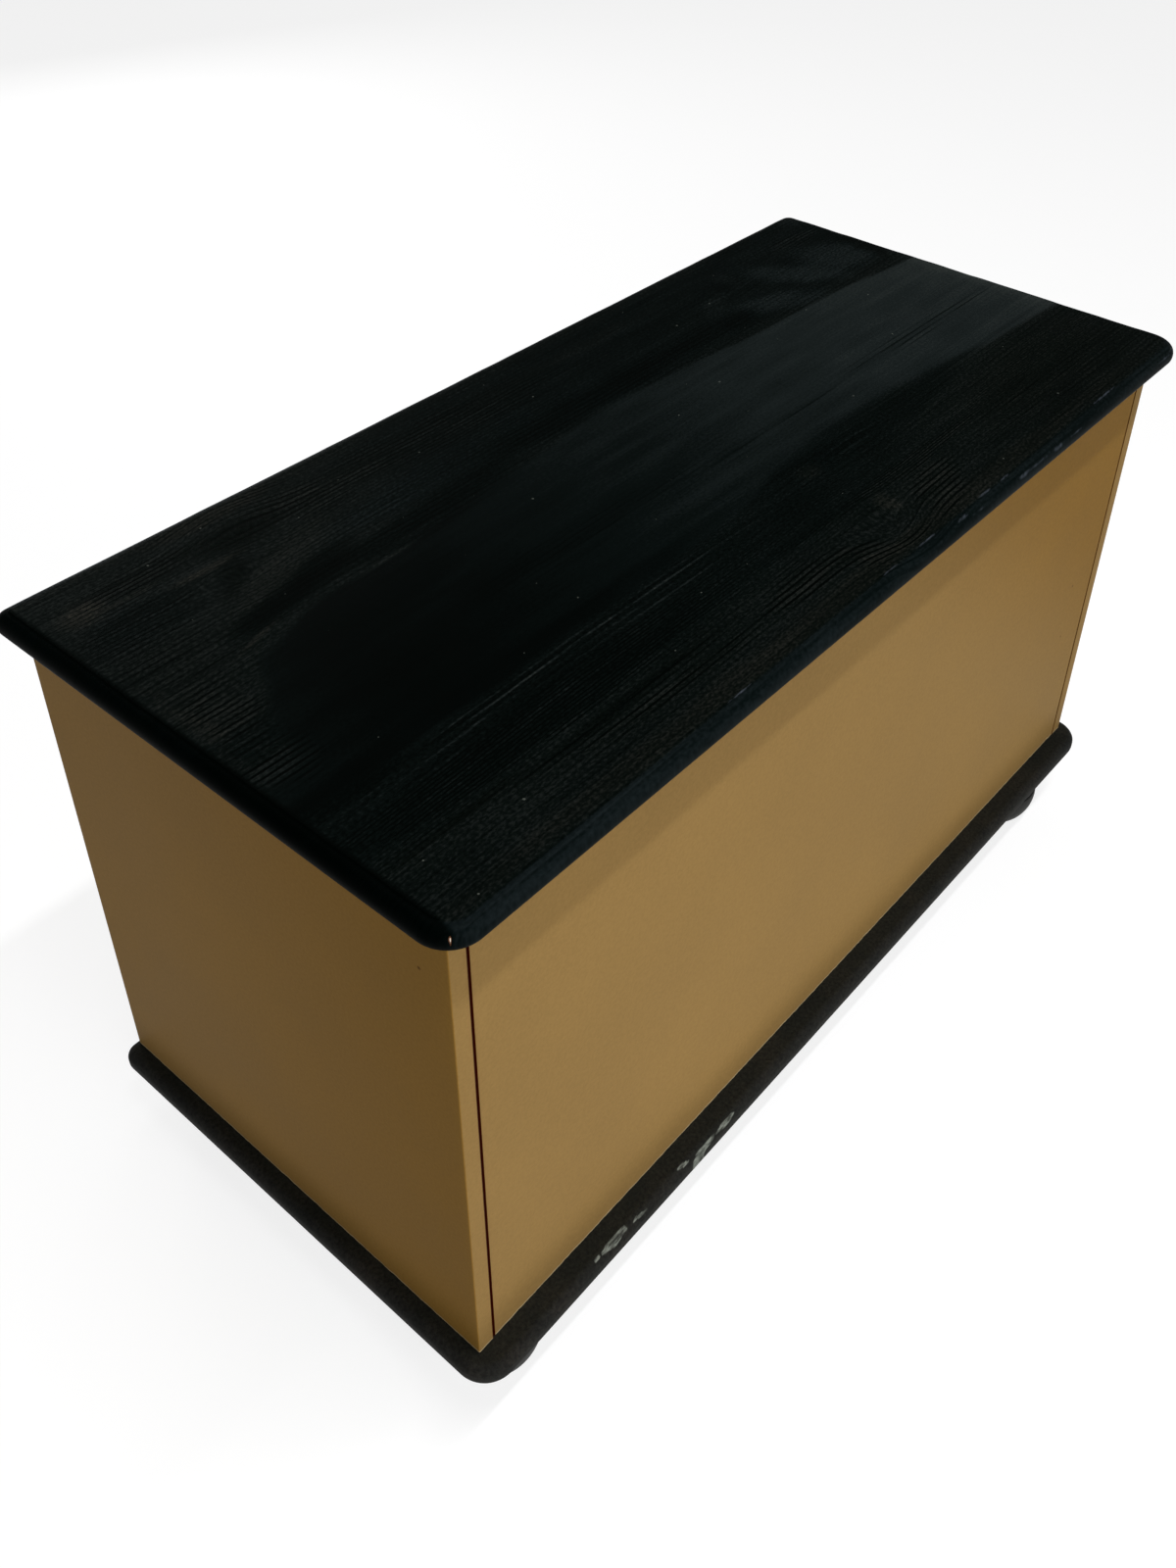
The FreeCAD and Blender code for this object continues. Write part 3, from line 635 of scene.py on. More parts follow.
def scuff_field(x, inset, table):
    """Strongest of several ragged ellipses in length and inset, in millimetres."""
    total = np.zeros_like(x)
    for along, depth, half_long, half_high, degrees in table:
        slope = math.tan(math.radians(degrees))
        u = (x - along) / half_long
        v = (inset - depth - slope * (x - along)) / half_high
        reach = np.sqrt(u * u + v * v) + 0.22 * soft_noise(x, inset, 3.1, 0.9, 21)
        total = np.maximum(total, 1 - ease(reach, 0.8, 1.1))
    return total


def make_base_board(name, node, front, back, front_rim, back_rim, sizes, material):
    """One board of the base, its edges rounded over and its paint brushed on thick.

    Heights follow from the inset as in the lid. Near the edge the paint sinks by its
    brush depth times (0.5 plus the brush marks), and further where it is knocked off.
    """
    low, high = joined_box("base_board_front", "base_board_middle", "base_board_back")
    corners = (sizes.base_front_corner, sizes.base_back_corner)
    insets = edge_insets(sizes.base_top_round, BASE_LINES, corners)
    x, y, inset = board_plan(low, high, front, back, front_rim, back_rim, corners, insets,
                             BASE_PITCH)
    top = high[2] - rounding(inset, sizes.base_top_round)
    bottom = low[2] + rounding(inset, sizes.base_bottom_round)
    open_edge = 1 - ease(inset, 12 * MM, 14 * MM)
    brushed = 0.5 + noise_sum(x, y, BRUSH_MARKS)
    scuff, hole = (scuff_field(x / MM, inset / MM, table) * (y < low[1] + EDGE_BAND)
                   for table in (BASE_SCUFFS, BASE_SCUFF_HOLES))
    scuff = scuff * (1 - 0.75 * hole)
    sink = sizes.brush_depth * brushed * open_edge * ease(inset, 0.1 * MM, 2 * MM)
    top = top - sink - KNOCK_DEPTH * scuff
    points, faces = closed_pair(np.stack([x, y, top], -1), np.stack([x, y, bottom], -1))
    piece = make_piece(name, points, faces, material, "chest", [node], sharp=50)
    store_both(piece, {"scuff": scuff, "inset": inset})
    return piece


def make_boards(make_board, slab, lines, sizes, material):
    """The three boards of a slab, between the given lines from its front to its back."""
    for index, place in enumerate(("front", "middle", "back")):
        make_board(slab + "_" + place, slab + "_board_" + place, lines[index], lines[index + 1],
                   place == "front", place == "back", sizes, material)


# Painted panels

def make_panel(name, node, face_axis, sizes, material):
    """A painted panel with eased upright edges and a slight wave in its outer face.

    The outer face sinks by the arris' round near its upright edges, and by a quarter
    of the wave times 1 plus a slow noise elsewhere. Face axis is the way that face
    looks: -2 for -Y, -1 for -X and 1 for +X.
    """
    low, high = (np.array(corner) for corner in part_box(node))
    wide = 0 if face_axis == -2 else 1
    thick = abs(face_axis) - 1
    arris = sizes.panel_arris
    turns = arris * (1 - np.cos(np.radians(np.linspace(0, 90, 6))))
    middle = even_rows(low[wide] + arris, high[wide] - arris, 6 * MM)
    width = np.concatenate([low[wide] + turns, middle, high[wide] - turns[::-1]])
    height = np.concatenate([[low[2]], even_rows(low[2], high[2], 6 * MM), [high[2]]])
    u, v = np.meshgrid(width, height, indexing="ij")
    inset = np.minimum(u - low[wide], high[wide] - u)
    wave = (1 + soft_noise(u, v, 170 * MM, 110 * MM, 31)) * ease(inset, 0, 12 * MM)
    sink = rounding(inset, arris) + 0.25 * sizes.panel_wave * wave
    back_sink = rounding(u - low[wide], sizes.inner_arris) * (abs(face_axis) == 1)
    outer = np.zeros(u.shape + (3,))
    outer[..., wide], outer[..., 2] = u, v
    inner = outer.copy()
    if face_axis < 0:
        outer[..., thick], inner[..., thick] = low[thick] + sink, high[thick] - back_sink
    else:
        outer[..., thick], inner[..., thick] = high[thick] - sink, low[thick] + back_sink
    if face_axis == -1:
        outer, inner = outer.transpose(1, 0, 2), inner.transpose(1, 0, 2)
    points, faces = closed_pair(outer, inner)
    return make_piece(name, points, faces, material, "chest", [node], sharp=40)


# Feet

# A turned foot, in millimetres: heights of its widest line, its groove and its neck, and
# radii of its widest line, the arcs below and above it, the groove and the neck
FOOT_WIDEST, FOOT_GROOVE, FOOT_NECK = 36, 43, 58.6
FOOT_RADIUS, LOWER_ARC, UPPER_ARC, GROOVE_ARC, NECK_RADIUS = 43.0, 45.0, 23.522, 1.2, 26.0
# Where the groove's centre stands off the foot's axis
GROOVE_OUT = 41.934
GOUGE_DEPTH, GOUGE_PITCH = 0.05, 1.7


def arc_out(height, middle, radius):
    """How far an arc stands out from its centre at a height."""
    return np.sqrt(np.maximum(radius ** 2 - (height - middle) ** 2, 0))


def foot_radius(height):
    """Radius of a turned foot at a height, in millimetres.

    Below and above the widest line, the side is an arc whose centre lies at that height.
    A round groove is turned above it, and then comes the straight neck.
    """
    lower = FOOT_RADIUS - LOWER_ARC + arc_out(height, FOOT_WIDEST, LOWER_ARC)
    upper = FOOT_RADIUS - UPPER_ARC + arc_out(height, FOOT_WIDEST, UPPER_ARC)
    radius = np.where(height < FOOT_WIDEST, lower, upper)
    groove = GROOVE_OUT - arc_out(height, FOOT_GROOVE, GROOVE_ARC)
    in_groove = np.abs(height - FOOT_GROOVE) < GROOVE_ARC
    radius = np.where(in_groove, np.minimum(radius, groove), radius)
    return np.where(height > FOOT_NECK, NECK_RADIUS, radius)


def make_foot(name, node, material):
    """A turned foot: its radius by height, less fine and even gouge marks."""
    low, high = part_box(node)
    centre = ((low[0] + high[0]) / 2, (low[1] + high[1]) / 2, high[2])
    tall = (high[2] - low[2]) / MM
    heights = np.unique(np.concatenate([
        np.linspace(0, tall, 84), np.linspace(FOOT_GROOVE - 1.4, FOOT_GROOVE + 1.4, 13),
        [FOOT_NECK, FOOT_NECK + 0.01]]))[::-1]
    radius = foot_radius(heights)
    marks = GOUGE_DEPTH * (1 - np.cos(TURN * heights / GOUGE_PITCH))
    marks = marks * (heights > 1) * (heights < 58)
    radius = (radius - marks) * MM
    depth = (tall - heights) * MM
    radius = np.concatenate([[radius[0] * 0.4], radius, [radius[-1] * 0.4]])
    depth = np.concatenate([[depth[0]], depth, [depth[-1]]])
    points, faces = turned(radius[:, None], depth[:, None], 80, centre, (0, 0, -1))
    return make_piece(name, points, faces, material, "chest", [node], sharp=40)


# Screws

# Radii of shank and head and depth of head, in millimetres
WOOD_SCREW = {"shank": 2.0, "head": 4.0, "head_depth": 2.5}
HINGE_SCREW = {"shank": 1.5, "head": 2.8, "head_depth": 1.4}
# How deep the screws reach into the lid, the panels, the base and the back panel's edge,
# and how thick the battens, blocks and cleats are that some go through first, in millimetres
IN_LID, IN_PANEL, IN_BASE, IN_BACK = 11.78, 9.3, 14.88, 19.0
BATTEN, BLOCK, CLEAT = 18, 28, 20
# Share of a piece's length from its end to the first screw
SCREW_MARGIN = 0.11
# A block's screws to its second panel stand this much lower than those to its first
BLOCK_STEP = 24 * MM
# Gap at each end of a cleat
CLEAT_SLACK = 0.5 * MM
# Hinge screws from the back panel's outer face, and from the hinge's middle
HINGE_SCREW_IN = 7.5 * MM
HINGE_SCREW_OUT = 29.25 * MM


def screw_shape(place, into, reach, shank, head, head_depth):
    """A countersunk screw with a cross recess, its sizes in millimetres.

    The head's face is a disc that sinks where a point lies within the arms of the
    cross: by the recess' depth, less towards the arms' sides and ends. Its rings and
    the recess' measures are shares of the head's radius.
    """
    segments = 32
    angle = np.arange(segments) * TURN / segments
    face = np.array([0.06, 0.13, 0.2, 0.28, 0.38, 0.5, 0.62, 0.8, 0.95, 1.0]) * head
    x = np.abs(face[:, None] * np.cos(angle))
    y = np.abs(face[:, None] * np.sin(angle))
    arm = 1 - ease(np.minimum(x, y), 0.10 * head, 0.19 * head)
    reach_out = 1 - ease(np.maximum(x, y), 0.46 * head, 0.60 * head)
    sink = 0.38 * head * arm * reach_out * (1 - 0.5 * np.maximum(x, y) / head)
    sink[-2:] = 0
    sink[-1] = 0.05
    rest_radius = np.array([head * 0.98, shank, shank, 0.2])
    rest_depth = np.array([0.25, head_depth, reach - 2 * shank, reach - 0.1])
    radius = np.concatenate([np.repeat(face[:, None], segments, 1),
                             np.repeat(rest_radius[:, None], segments, 1)])
    depth = np.concatenate([sink, np.repeat(rest_depth[:, None], segments, 1)])
    return turned(radius * MM, depth * MM, segments, place, into)


def spread(first, last, count, margin=0):
    """Evenly spaced values between two ends, less a share of the whole at each."""
    first, last = first + (last - first) * margin, last - (last - first) * margin
    return [first + (last - first) * index / (count - 1) for index in range(count)]


def batten_screws():
    """Places of the screws up through the battens."""
    places = []
    for side in ("left", "right"):
        low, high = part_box("lid_batten_" + side)
        for y in spread(low[1], high[1], 4, SCREW_MARGIN):
            places.append(((low[0] + high[0]) / 2, y, low[2], 0, 0, 1, BATTEN + IN_LID))
    return places


def hinge_screws(side):
    """Places of the screws in the hinge leaves, below the lid line -1 or above it 1."""
    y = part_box("back_panel")[1][1] - HINGE_SCREW_IN
    z = pin_place()[1] + side * 0.1 * MM
    return [(x, y, z, 0, 0, side, IN_BACK if side < 0 else IN_LID) for centre in hinge_centres()
            for x in spread(centre - HINGE_SCREW_OUT, centre + HINGE_SCREW_OUT, 3)]


def block_screws():
    """Places of the screws through the corner blocks, towards both panels."""
    places = []
    for side, out_x in (("left", -1), ("right", 1)):
        for end, out_y in (("front", -1), ("back", 1)):
            low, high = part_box("corner_block_" + end + "_" + side)
            middle = (low + high) / 2
            near_x = high[0] if out_x < 0 else low[0]
            near_y = high[1] if out_y < 0 else low[1]
            for z in spread(low[2], high[2], 3, SCREW_MARGIN):
                places.append((near_x, middle[1], z, out_x, 0, 0, BLOCK + IN_PANEL))
                places.append((middle[0], near_y, z - BLOCK_STEP, 0, out_y, 0, BLOCK + IN_PANEL))
    return places


def cleat_screws():
    """Places of the screws through the cleats, sideways and down by turns."""
    places = []
    for name, axis, out, count in (("front", 0, -1, 8), ("back", 0, 1, 8),
                                   ("left", 1, -1, 4), ("right", 1, 1, 4)):
        low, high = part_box("bottom_cleat_" + name)
        middle = (low + high) / 2
        ends = (low[axis] - CLEAT_SLACK, high[axis] + CLEAT_SLACK)
        for index, along in enumerate(spread(*ends, count, SCREW_MARGIN)):
            place = list(middle)
            place[axis] = along
            if index % 2:
                place[2] = high[2]
                places.append((*place, 0, 0, -1, CLEAT + IN_BASE))
            else:
                place[1 - axis] = high[1 - axis] if out < 0 else low[1 - axis]
                into = (0, out, 0) if axis == 0 else (out, 0, 0)
                places.append((*place, *into, CLEAT + IN_PANEL))
    return places


def make_screws(name, node, places, kind, body, material):
    """One group of like screws, each a closed turned shape."""
    shapes = [screw_shape(place[:3], place[3:6], place[6], **kind) for place in places]
    points, faces = merged(shapes)
    return make_piece(name, points, faces, material, body, [node], sharp=35)


# Materials. A MapRange node is given its value, from low, from high, to low and to high,
# and a TexNoise node its place, scale, detail and roughness.

# Span that most values of a noise texture lie in
NOISE_SPAN = (0.3, 0.7)


def rgba(value):
    """A colour with full opacity."""
    return (*value[:3], 1)


def wire(tree, node, inputs):
    """Set or link a node's inputs: a dict names them, a tuple takes those in use in order.

    An output is linked to its input, and anything else is set on it.
    """
    if not isinstance(inputs, dict):
        used = [index for index, socket in enumerate(node.inputs) if socket.enabled]
        inputs = dict(zip(used, inputs))
    for key, value in inputs.items():
        socket = node.inputs[key]
        if isinstance(value, bpy.types.NodeSocket):
            tree.links.new(value, socket)
        else:
            socket.default_value = rgba(value) if socket.type == "RGBA" else value


def add(tree, kind, inputs=(), give=None, **settings):
    """Add a shader node with its settings and inputs, and give one output in use."""
    node = tree.nodes.new("ShaderNode" + kind)
    for key, value in settings.items():
        setattr(node, key, value)
    wire(tree, node, inputs)
    if give:
        return node.outputs[give]
    return next((socket for socket in node.outputs if socket.enabled), None)


def new_material(name):
    """An empty material, its tree, its surface node and its object coordinates."""
    material = bpy.data.materials.new(name)
    material.use_nodes = True
    tree = material.node_tree
    tree.nodes.clear()
    surface = add(tree, "BsdfPrincipled")
    add(tree, "OutputMaterial", {"Surface": surface})
    return material, tree, surface.node, add(tree, "TexCoord", give="Object")


def grain_noise(tree, x, across, reach_x, reach_y, detail):
    """Noise drawn out along the grain, in cells of the given reach along and across."""
    along = add(tree, "Math", (x, 1 / reach_x), operation="MULTIPLY")
    wide = add(tree, "Math", (across, 1 / reach_y), operation="MULTIPLY")
    at = add(tree, "CombineXYZ", (along, wide))
    return add(tree, "TexNoise", (at, 1.0, detail), noise_dimensions="2D")


# Stain from deepest to thinnest: natural logarithm of how light, and colour
STAIN_STOPS = ((-2.0, "#000201"), (-1.0, "#010403"), (0.0, "#060C0B"), (1.0, "#171D1D"),
               (2.2, "#2F3432"))
# What the stain's colour is multiplied by where it was rubbed, and on the rounded edge,
# where its blue is a painted reflection
RUBBED_TINT = (1.4, 1.05, 0.88)
EDGE_REFLECTION_TINT = (1.0, 1.02, 1.1)
STAIN_FIELDS = ("across", "rings", "smooth", "tone", "warm", "line", "wear_and_highlight", "chip", "edge")
# Dust specks stand in cells of this size, reach this share of one, and cover this much
DUST_CELL = 60 * MM
DUST_REACH = 0.016
DUST_COVER = 0.26


def black_stained_pine(colours):
    """Pine stained black by hand. It looks almost black, with dark and pale growth lines,
    brown grey where it was rubbed, a cool sheen where it built up smooth that is partly
    painted reflection, a painted blue reflection on its rounded edge, and dust."""
    material, tree, surface, place = new_material("pine_black_stained")
    field = {name: add(tree, "Attribute", give="Fac", attribute_name=name)
             for name in STAIN_FIELDS}
    along, across = add(tree, "SeparateXYZ", (place,)), field["across"]
    # Fibres about 1 mm across and grit under 1 mm, both drawn coarser to show
    fibre = grain_noise(tree, along, across, 80 * MM, 1.6 * MM, 3.0)
    grit = grain_noise(tree, along, across, 3.4 * MM, 1.8 * MM, 3.0)
    # A growth line once in each count, broken up over 25 to 100 mm
    turn = add(tree, "Math", (field["rings"], TURN), operation="MULTIPLY")
    wave = add(tree, "Math", (turn,), operation="COSINE")
    ridge = add(tree, "MapRange", (wave, 0.0, 1.0, -0.22, 1.0), interpolation_type="SMOOTHSTEP")
    broken = grain_noise(tree, along, across, 70 * MM, 7 * MM, 4.0)
    present = add(tree, "MapRange", (broken, 0.38, 0.6, 0.2, 1.6))
    line = add(tree, "Math", (ridge, present), operation="MULTIPLY")
    tone = add(tree, "Math", (line, field["line"], field["tone"]), operation="MULTIPLY_ADD")
    # Fibres and grit show less where the stain built up smooth
    for noise, rough_depth, smooth_depth in ((fibre, 1.2, 0.6), (grit, 2.8, 1.1)):
        depth = add(tree, "MapRange", (field["smooth"], 0.0, 1.0, rough_depth, smooth_depth))
        off = add(tree, "Math", (noise, 0.5), operation="SUBTRACT")
        tone = add(tree, "Math", (off, depth, tone), operation="MULTIPLY_ADD")
    first, last = STAIN_STOPS[0][0], STAIN_STOPS[-1][0]
    ramp = add(tree, "ValToRGB", (add(tree, "MapRange", (tone, first, last)),))
    stops = ramp.node.color_ramp.elements
    while len(stops) < len(STAIN_STOPS):
        stops.new(0.5)
    for stop, (level, code) in zip(stops, STAIN_STOPS):
        stop.position = (level - first) / (last - first)
        stop.color = rgba(linear(code))
    shade = ramp
    # Brown where rubbed, and the painted blue reflection on the rounded edge
    for part, tint in ((field["warm"], RUBBED_TINT), (field["edge"], EDGE_REFLECTION_TINT)):
        tinted = add(tree, "VectorMath", (shade, tint), operation="MULTIPLY")
        shade = add(tree, "Mix", (part, shade, tinted), data_type="RGBA")
    # Edge wear with its painted highlight, and the chip at the corner with its darker fringe
    for value, low, high, most, marked in ((field["wear_and_highlight"], 0.2, 0.95, 0.19, colours.scuff),
                                           (field["chip"], 0.2, 0.4, 1, colours.fringe),
                                           (field["chip"], 0.65, 0.85, 1, colours.chip_wood)):
        cover = add(tree, "MapRange", (value, low, high, 0.0, most))
        shade = add(tree, "Mix", (cover, shade, marked), data_type="RGBA")
    # Dust specks 1 to 2 mm wide, about one in each 80 mm square
    dust = add(tree, "TexVoronoi", {"Vector": place, "Scale": 1 / DUST_CELL},
               voronoi_dimensions="2D", feature="F1")
    size = add(tree, "SeparateColor", (dust.node.outputs["Color"],))
    reach = add(tree, "MapRange", (size, 0.4, 1.0, 0.0, DUST_REACH))
    speck = add(tree, "Math", (dust, reach), operation="LESS_THAN")
    speck = add(tree, "Math", (speck, DUST_COVER), operation="MULTIPLY")
    shade = add(tree, "Mix", (speck, shade, colours.chip), data_type="RGBA")
    gloss = add(tree, "MapRange", (field["smooth"], 0.0, 1.0, 0.62, 0.46))
    bump = add(tree, "Bump", {"Height": fibre, "Strength": 0.4, "Distance": 0.12 * MM})
    wire(tree, surface, {"Base Color": shade, "Roughness": gloss, "Normal": bump,
                         "Specular IOR Level": 0.008})
    return material


def inside_box(tree, place, low, high):
    """Socket that is 1 inside a box and 0 outside it, from object coordinates."""
    middle = tuple((a + b) / 2 for a, b in zip(low, high))
    half = tuple((b - a) / 2 for a, b in zip(low, high))
    away = add(tree, "VectorMath", (place, middle), operation="SUBTRACT")
    away = add(tree, "VectorMath", (away,), operation="ABSOLUTE")
    left = add(tree, "VectorMath", (half, away), operation="SUBTRACT")
    x, y, z = add(tree, "SeparateXYZ", (left,)).node.outputs
    least = add(tree, "Math", (x, y), operation="MINIMUM")
    least = add(tree, "Math", (least, z), operation="MINIMUM")
    return add(tree, "Math", (least, 0.0), operation="GREATER_THAN")


# Pine, along and across its grain: how much its pattern is drawn out, its fibres, and
# the distance between growth rings and how far they wander
PINE_DRAWN_OUT = 0.07
PINE_FIBRE = (50 * MM, 1.2 * MM)
PINE_RING = 4.5 * MM
PINE_WANDER = 60 * MM


def pine_shade(tree, place, axis, colours, seed):
    """Colour and height sockets of planed pine whose grain runs along an axis.

    Growth rings are bands of the distance from a far axis, bent by a slow noise, and
    evenly apart where the face cuts them square.
    """
    squeeze, thin = [1.0] * 3, [1 / PINE_FIBRE[1]] * 3
    squeeze[axis], thin[axis] = PINE_DRAWN_OUT, 1 / PINE_FIBRE[0]
    far = (seed * 0.37, seed * 0.21, 0.31)
    along = add(tree, "Mapping", {"Vector": place, "Location": far, "Scale": squeeze})
    drift = add(tree, "TexNoise", (along, 1 / (90 * MM), 2.0), "Color")
    shift = add(tree, "VectorMath", (drift, [PINE_WANDER] * 3, along), operation="MULTIPLY_ADD")
    reach = add(tree, "VectorMath", (shift,), operation="LENGTH")
    count = add(tree, "Math", (reach, 1 / PINE_RING), operation="MULTIPLY")
    part = add(tree, "Math", (count,), operation="FRACT")
    late = add(tree, "MapRange", (part, 0.35, 0.97), interpolation_type="SMOOTHSTEP")
    fibre_at = add(tree, "Mapping", {"Vector": place, "Scale": thin})
    fibre = add(tree, "TexNoise", (fibre_at, 1.0, 2.0))
    mixed = add(tree, "Math", (fibre, 0.35, -0.12), operation="MULTIPLY_ADD")
    mixed = add(tree, "Math", (late, 0.6, mixed), operation="MULTIPLY_ADD", use_clamp=True)
    shade = add(tree, "Mix", (mixed, colours.pine, colours.pine_late), data_type="RGBA")
    return shade, mixed


def planed_pine(colours, axis, seed):
    """Unfinished pine from the planer. It looks honey yellow, with darker growth rings
    along the piece and a dry, faintly ribbed surface."""
    material, tree, surface, place = new_material("pine_planed_" + "xyz"[axis])
    shade, height = pine_shade(tree, place, axis, colours, seed)
    bump = add(tree, "Bump", {"Height": height, "Strength": 0.4, "Distance": 0.1 * MM})
    wire(tree, surface, {"Base Color": shade, "Normal": bump, "Roughness": 0.62,
                         "Specular IOR Level": 0.35})
    return material


def between_panels(slack, bottom):
    """Lowest and highest corner of the room between the panels, above a bottom."""
    left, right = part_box("side_panel_left")[1][0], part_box("side_panel_right")[0][0]
    front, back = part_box("front_panel")[1][1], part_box("back_panel")[0][1]
    return (left - slack, front - slack, bottom), (right + slack, back + slack, 1.0)


def bare_inside(tree, place, room, pine, coat, coat_height):
    """Colour and height sockets of paint with bare pine inside a room, and the room's own."""
    inside = inside_box(tree, place, *room)
    wood, wood_height = pine_shade(tree, place, *pine)
    shade = add(tree, "Mix", (inside, coat, wood), data_type="RGBA")
    height = add(tree, "Mix", (inside, coat_height, wood_height), data_type="FLOAT")
    return shade, height, inside


# Specks on the gold paint, in millimetres: place and reach
PAINT_SPECKS = ((-450, -174, 493, 1.8), (391, -199.5, 251, 1.6), (391, -199.5, 314, 1.6))
# How far the grime in the left and the right front joint runs, in millimetres: past the
# side panel's inner face and past the front panel's end
LEFT_GRIME = (1.3, 0.7)
RIGHT_GRIME = (0.5, 0.1)
# The painted shade on the front's upper right follows its height times this, plus its length, over
# this span
PAINTED_SHADE_RISE = 1.25
PAINTED_SHADE_SPAN = (0.58, 0.92)
PAINTED_SHADE_DIMMING = 0.76


def gold_with_painted_shade(tree, place, axis, colours):
    """Colour socket of the gold paint, with painted shade on the front's upper right or towards
    the sides' front.
    """
    x, y, z = add(tree, "SeparateXYZ", (place,)).node.outputs
    if axis == 0:
        # Painted shade: the front is darker and more orange towards its upper right
        slope = add(tree, "Math", (z, PAINTED_SHADE_RISE, x), operation="MULTIPLY_ADD")
        part = add(tree, "MapRange", (slope, *PAINTED_SHADE_SPAN), interpolation_type="SMOOTHSTEP")
        ahead = add(tree, "Math", (y, 0.0), operation="LESS_THAN")
        part = add(tree, "Math", (part, ahead), operation="MULTIPLY")
        shaded_coat = [PAINTED_SHADE_DIMMING * level for level in colours.shaded_gold]
    else:
        # Painted shade: the side panels' outer faces are darker and more orange towards the front
        back = add(tree, "MapRange", (y, -0.2, 0.12))
        shaded_coat = add(tree, "Mix", (back, colours.shaded_gold, colours.side_gold_back), data_type="RGBA")
        aside = add(tree, "Math", (x,), operation="ABSOLUTE")
        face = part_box("side_panel_right")[1][0] - 0.6 * MM
        part = add(tree, "Math", (aside, face), operation="GREATER_THAN")
    return add(tree, "Mix", (part, colours.gold, shaded_coat), data_type="RGBA")


def foot_line(tree, place, z, foot, coat, colours):
    """Colour socket of a coat with the base's paint and a painted highlight line at its foot."""
    # The base's paint creeps up the panel by about 1 mm, unevenly
    ragged = add(tree, "TexNoise", (place, 1 / (9 * MM), 3.0))
    line = add(tree, "MapRange", (ragged, 0.3, 0.75, foot + 0.1 * MM, foot + 1.6 * MM))
    under = add(tree, "Math", (z, line), operation="LESS_THAN")
    coat = add(tree, "Mix", (under, coat, colours.base), data_type="RGBA")
    # A thin pale line just above it: a painted highlight along the paint's edge
    off = add(tree, "Math", (z, line), operation="SUBTRACT")
    pale = add(tree, "MapRange", (off, 0.9 * MM, 1.6 * MM, 0.55, 0.0))
    above = add(tree, "Math", (off, 0.0), operation="GREATER_THAN")
    pale = add(tree, "Math", (pale, above), operation="MULTIPLY")
    return add(tree, "Mix", (pale, coat, colours.rim), data_type="RGBA")


def joint_grime(tree, place, coat, colours):
    """Colour socket of a coat with grime in the front panel's joints, and with specks."""
    low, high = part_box("front_panel")
    (left, *_), (right, *_) = between_panels(0, 0)
    for first, last, grime in (
            (left - LEFT_GRIME[0] * MM, low[0] + LEFT_GRIME[1] * MM, colours.gap),
            (high[0] - RIGHT_GRIME[1] * MM, right + RIGHT_GRIME[0] * MM, colours.seam)):
        joint = inside_box(tree, place, (first, low[1] - 1 * MM, 0), (last, high[1] + 1 * MM, 1))
        coat = add(tree, "Mix", (joint, coat, grime), data_type="RGBA")
    for *middle, reach in PAINT_SPECKS:
        away = add(tree, "VectorMath", (place, [v * MM for v in middle]), operation="DISTANCE")
        speck = add(tree, "MapRange", (away, reach * 0.4 * MM, reach * MM, 0.7, 0.0))
        coat = add(tree, "Mix", (speck, coat, colours.gap), data_type="RGBA")
    return coat


def gold_paint(colours, axis):
    """Satin water-based paint rolled on planed pine. It looks an even mustard gold with
    a fine stipple, painted shade along the foot of the panel, and bare pine inside."""
    material, tree, surface, place = new_material("paint_gold_rolled_" + "xyz"[axis])
    # Stipple of the roller's nap, about 2 mm, drawn a little coarser to show
    nap = add(tree, "TexNoise", (place, 1 / (2.6 * MM), 2.0, 0.6))
    cloud = add(tree, "TexNoise", (place, 1 / (120 * MM), 3.0))
    tone = add(tree, "MapRange", (cloud, 0.25, 0.75, 0.95, 1.05))
    grit = add(tree, "MapRange", (nap, *NOISE_SPAN, 0.94, 1.06))
    tone = add(tree, "Math", (tone, grit), operation="MULTIPLY")
    # Painted shade: darker over the lowest 60 mm of the panel
    foot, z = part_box("front_panel")[0][2], add(tree, "SeparateXYZ", (place,), "Z")
    foot_shade = add(tree, "MapRange", (z, foot, foot + 60 * MM, 0.78, 1.0),
               interpolation_type="SMOOTHERSTEP")
    tone = add(tree, "Math", (tone, foot_shade), operation="MULTIPLY")
    coat = gold_with_painted_shade(tree, place, axis, colours)
    coat = add(tree, "VectorMath", (coat, tone), operation="SCALE")
    coat = foot_line(tree, place, z, foot, coat, colours)
    coat = joint_grime(tree, place, coat, colours)
    room = between_panels(0.2 * MM, 0.0)
    shade, height, inside = bare_inside(tree, place, room, (axis, colours, 2), coat, nap)
    gloss = add(tree, "MapRange", (cloud, 0.0, 1.0, 0.42, 0.54))
    gloss = add(tree, "Mix", (inside, gloss, 0.65), data_type="FLOAT")
    bump = add(tree, "Bump", {"Height": height, "Strength": 0.35, "Distance": 0.12 * MM})
    wire(tree, surface, {"Base Color": shade, "Roughness": gloss, "Normal": bump,
                         "Specular IOR Level": 0.01})
    return material


# What the base's colour is multiplied by, from its cooler to its browner patches
COOL_TINT = (0.8, 1.0, 1.06)
BROWN_TINT = (1.2, 0.96, 0.88)


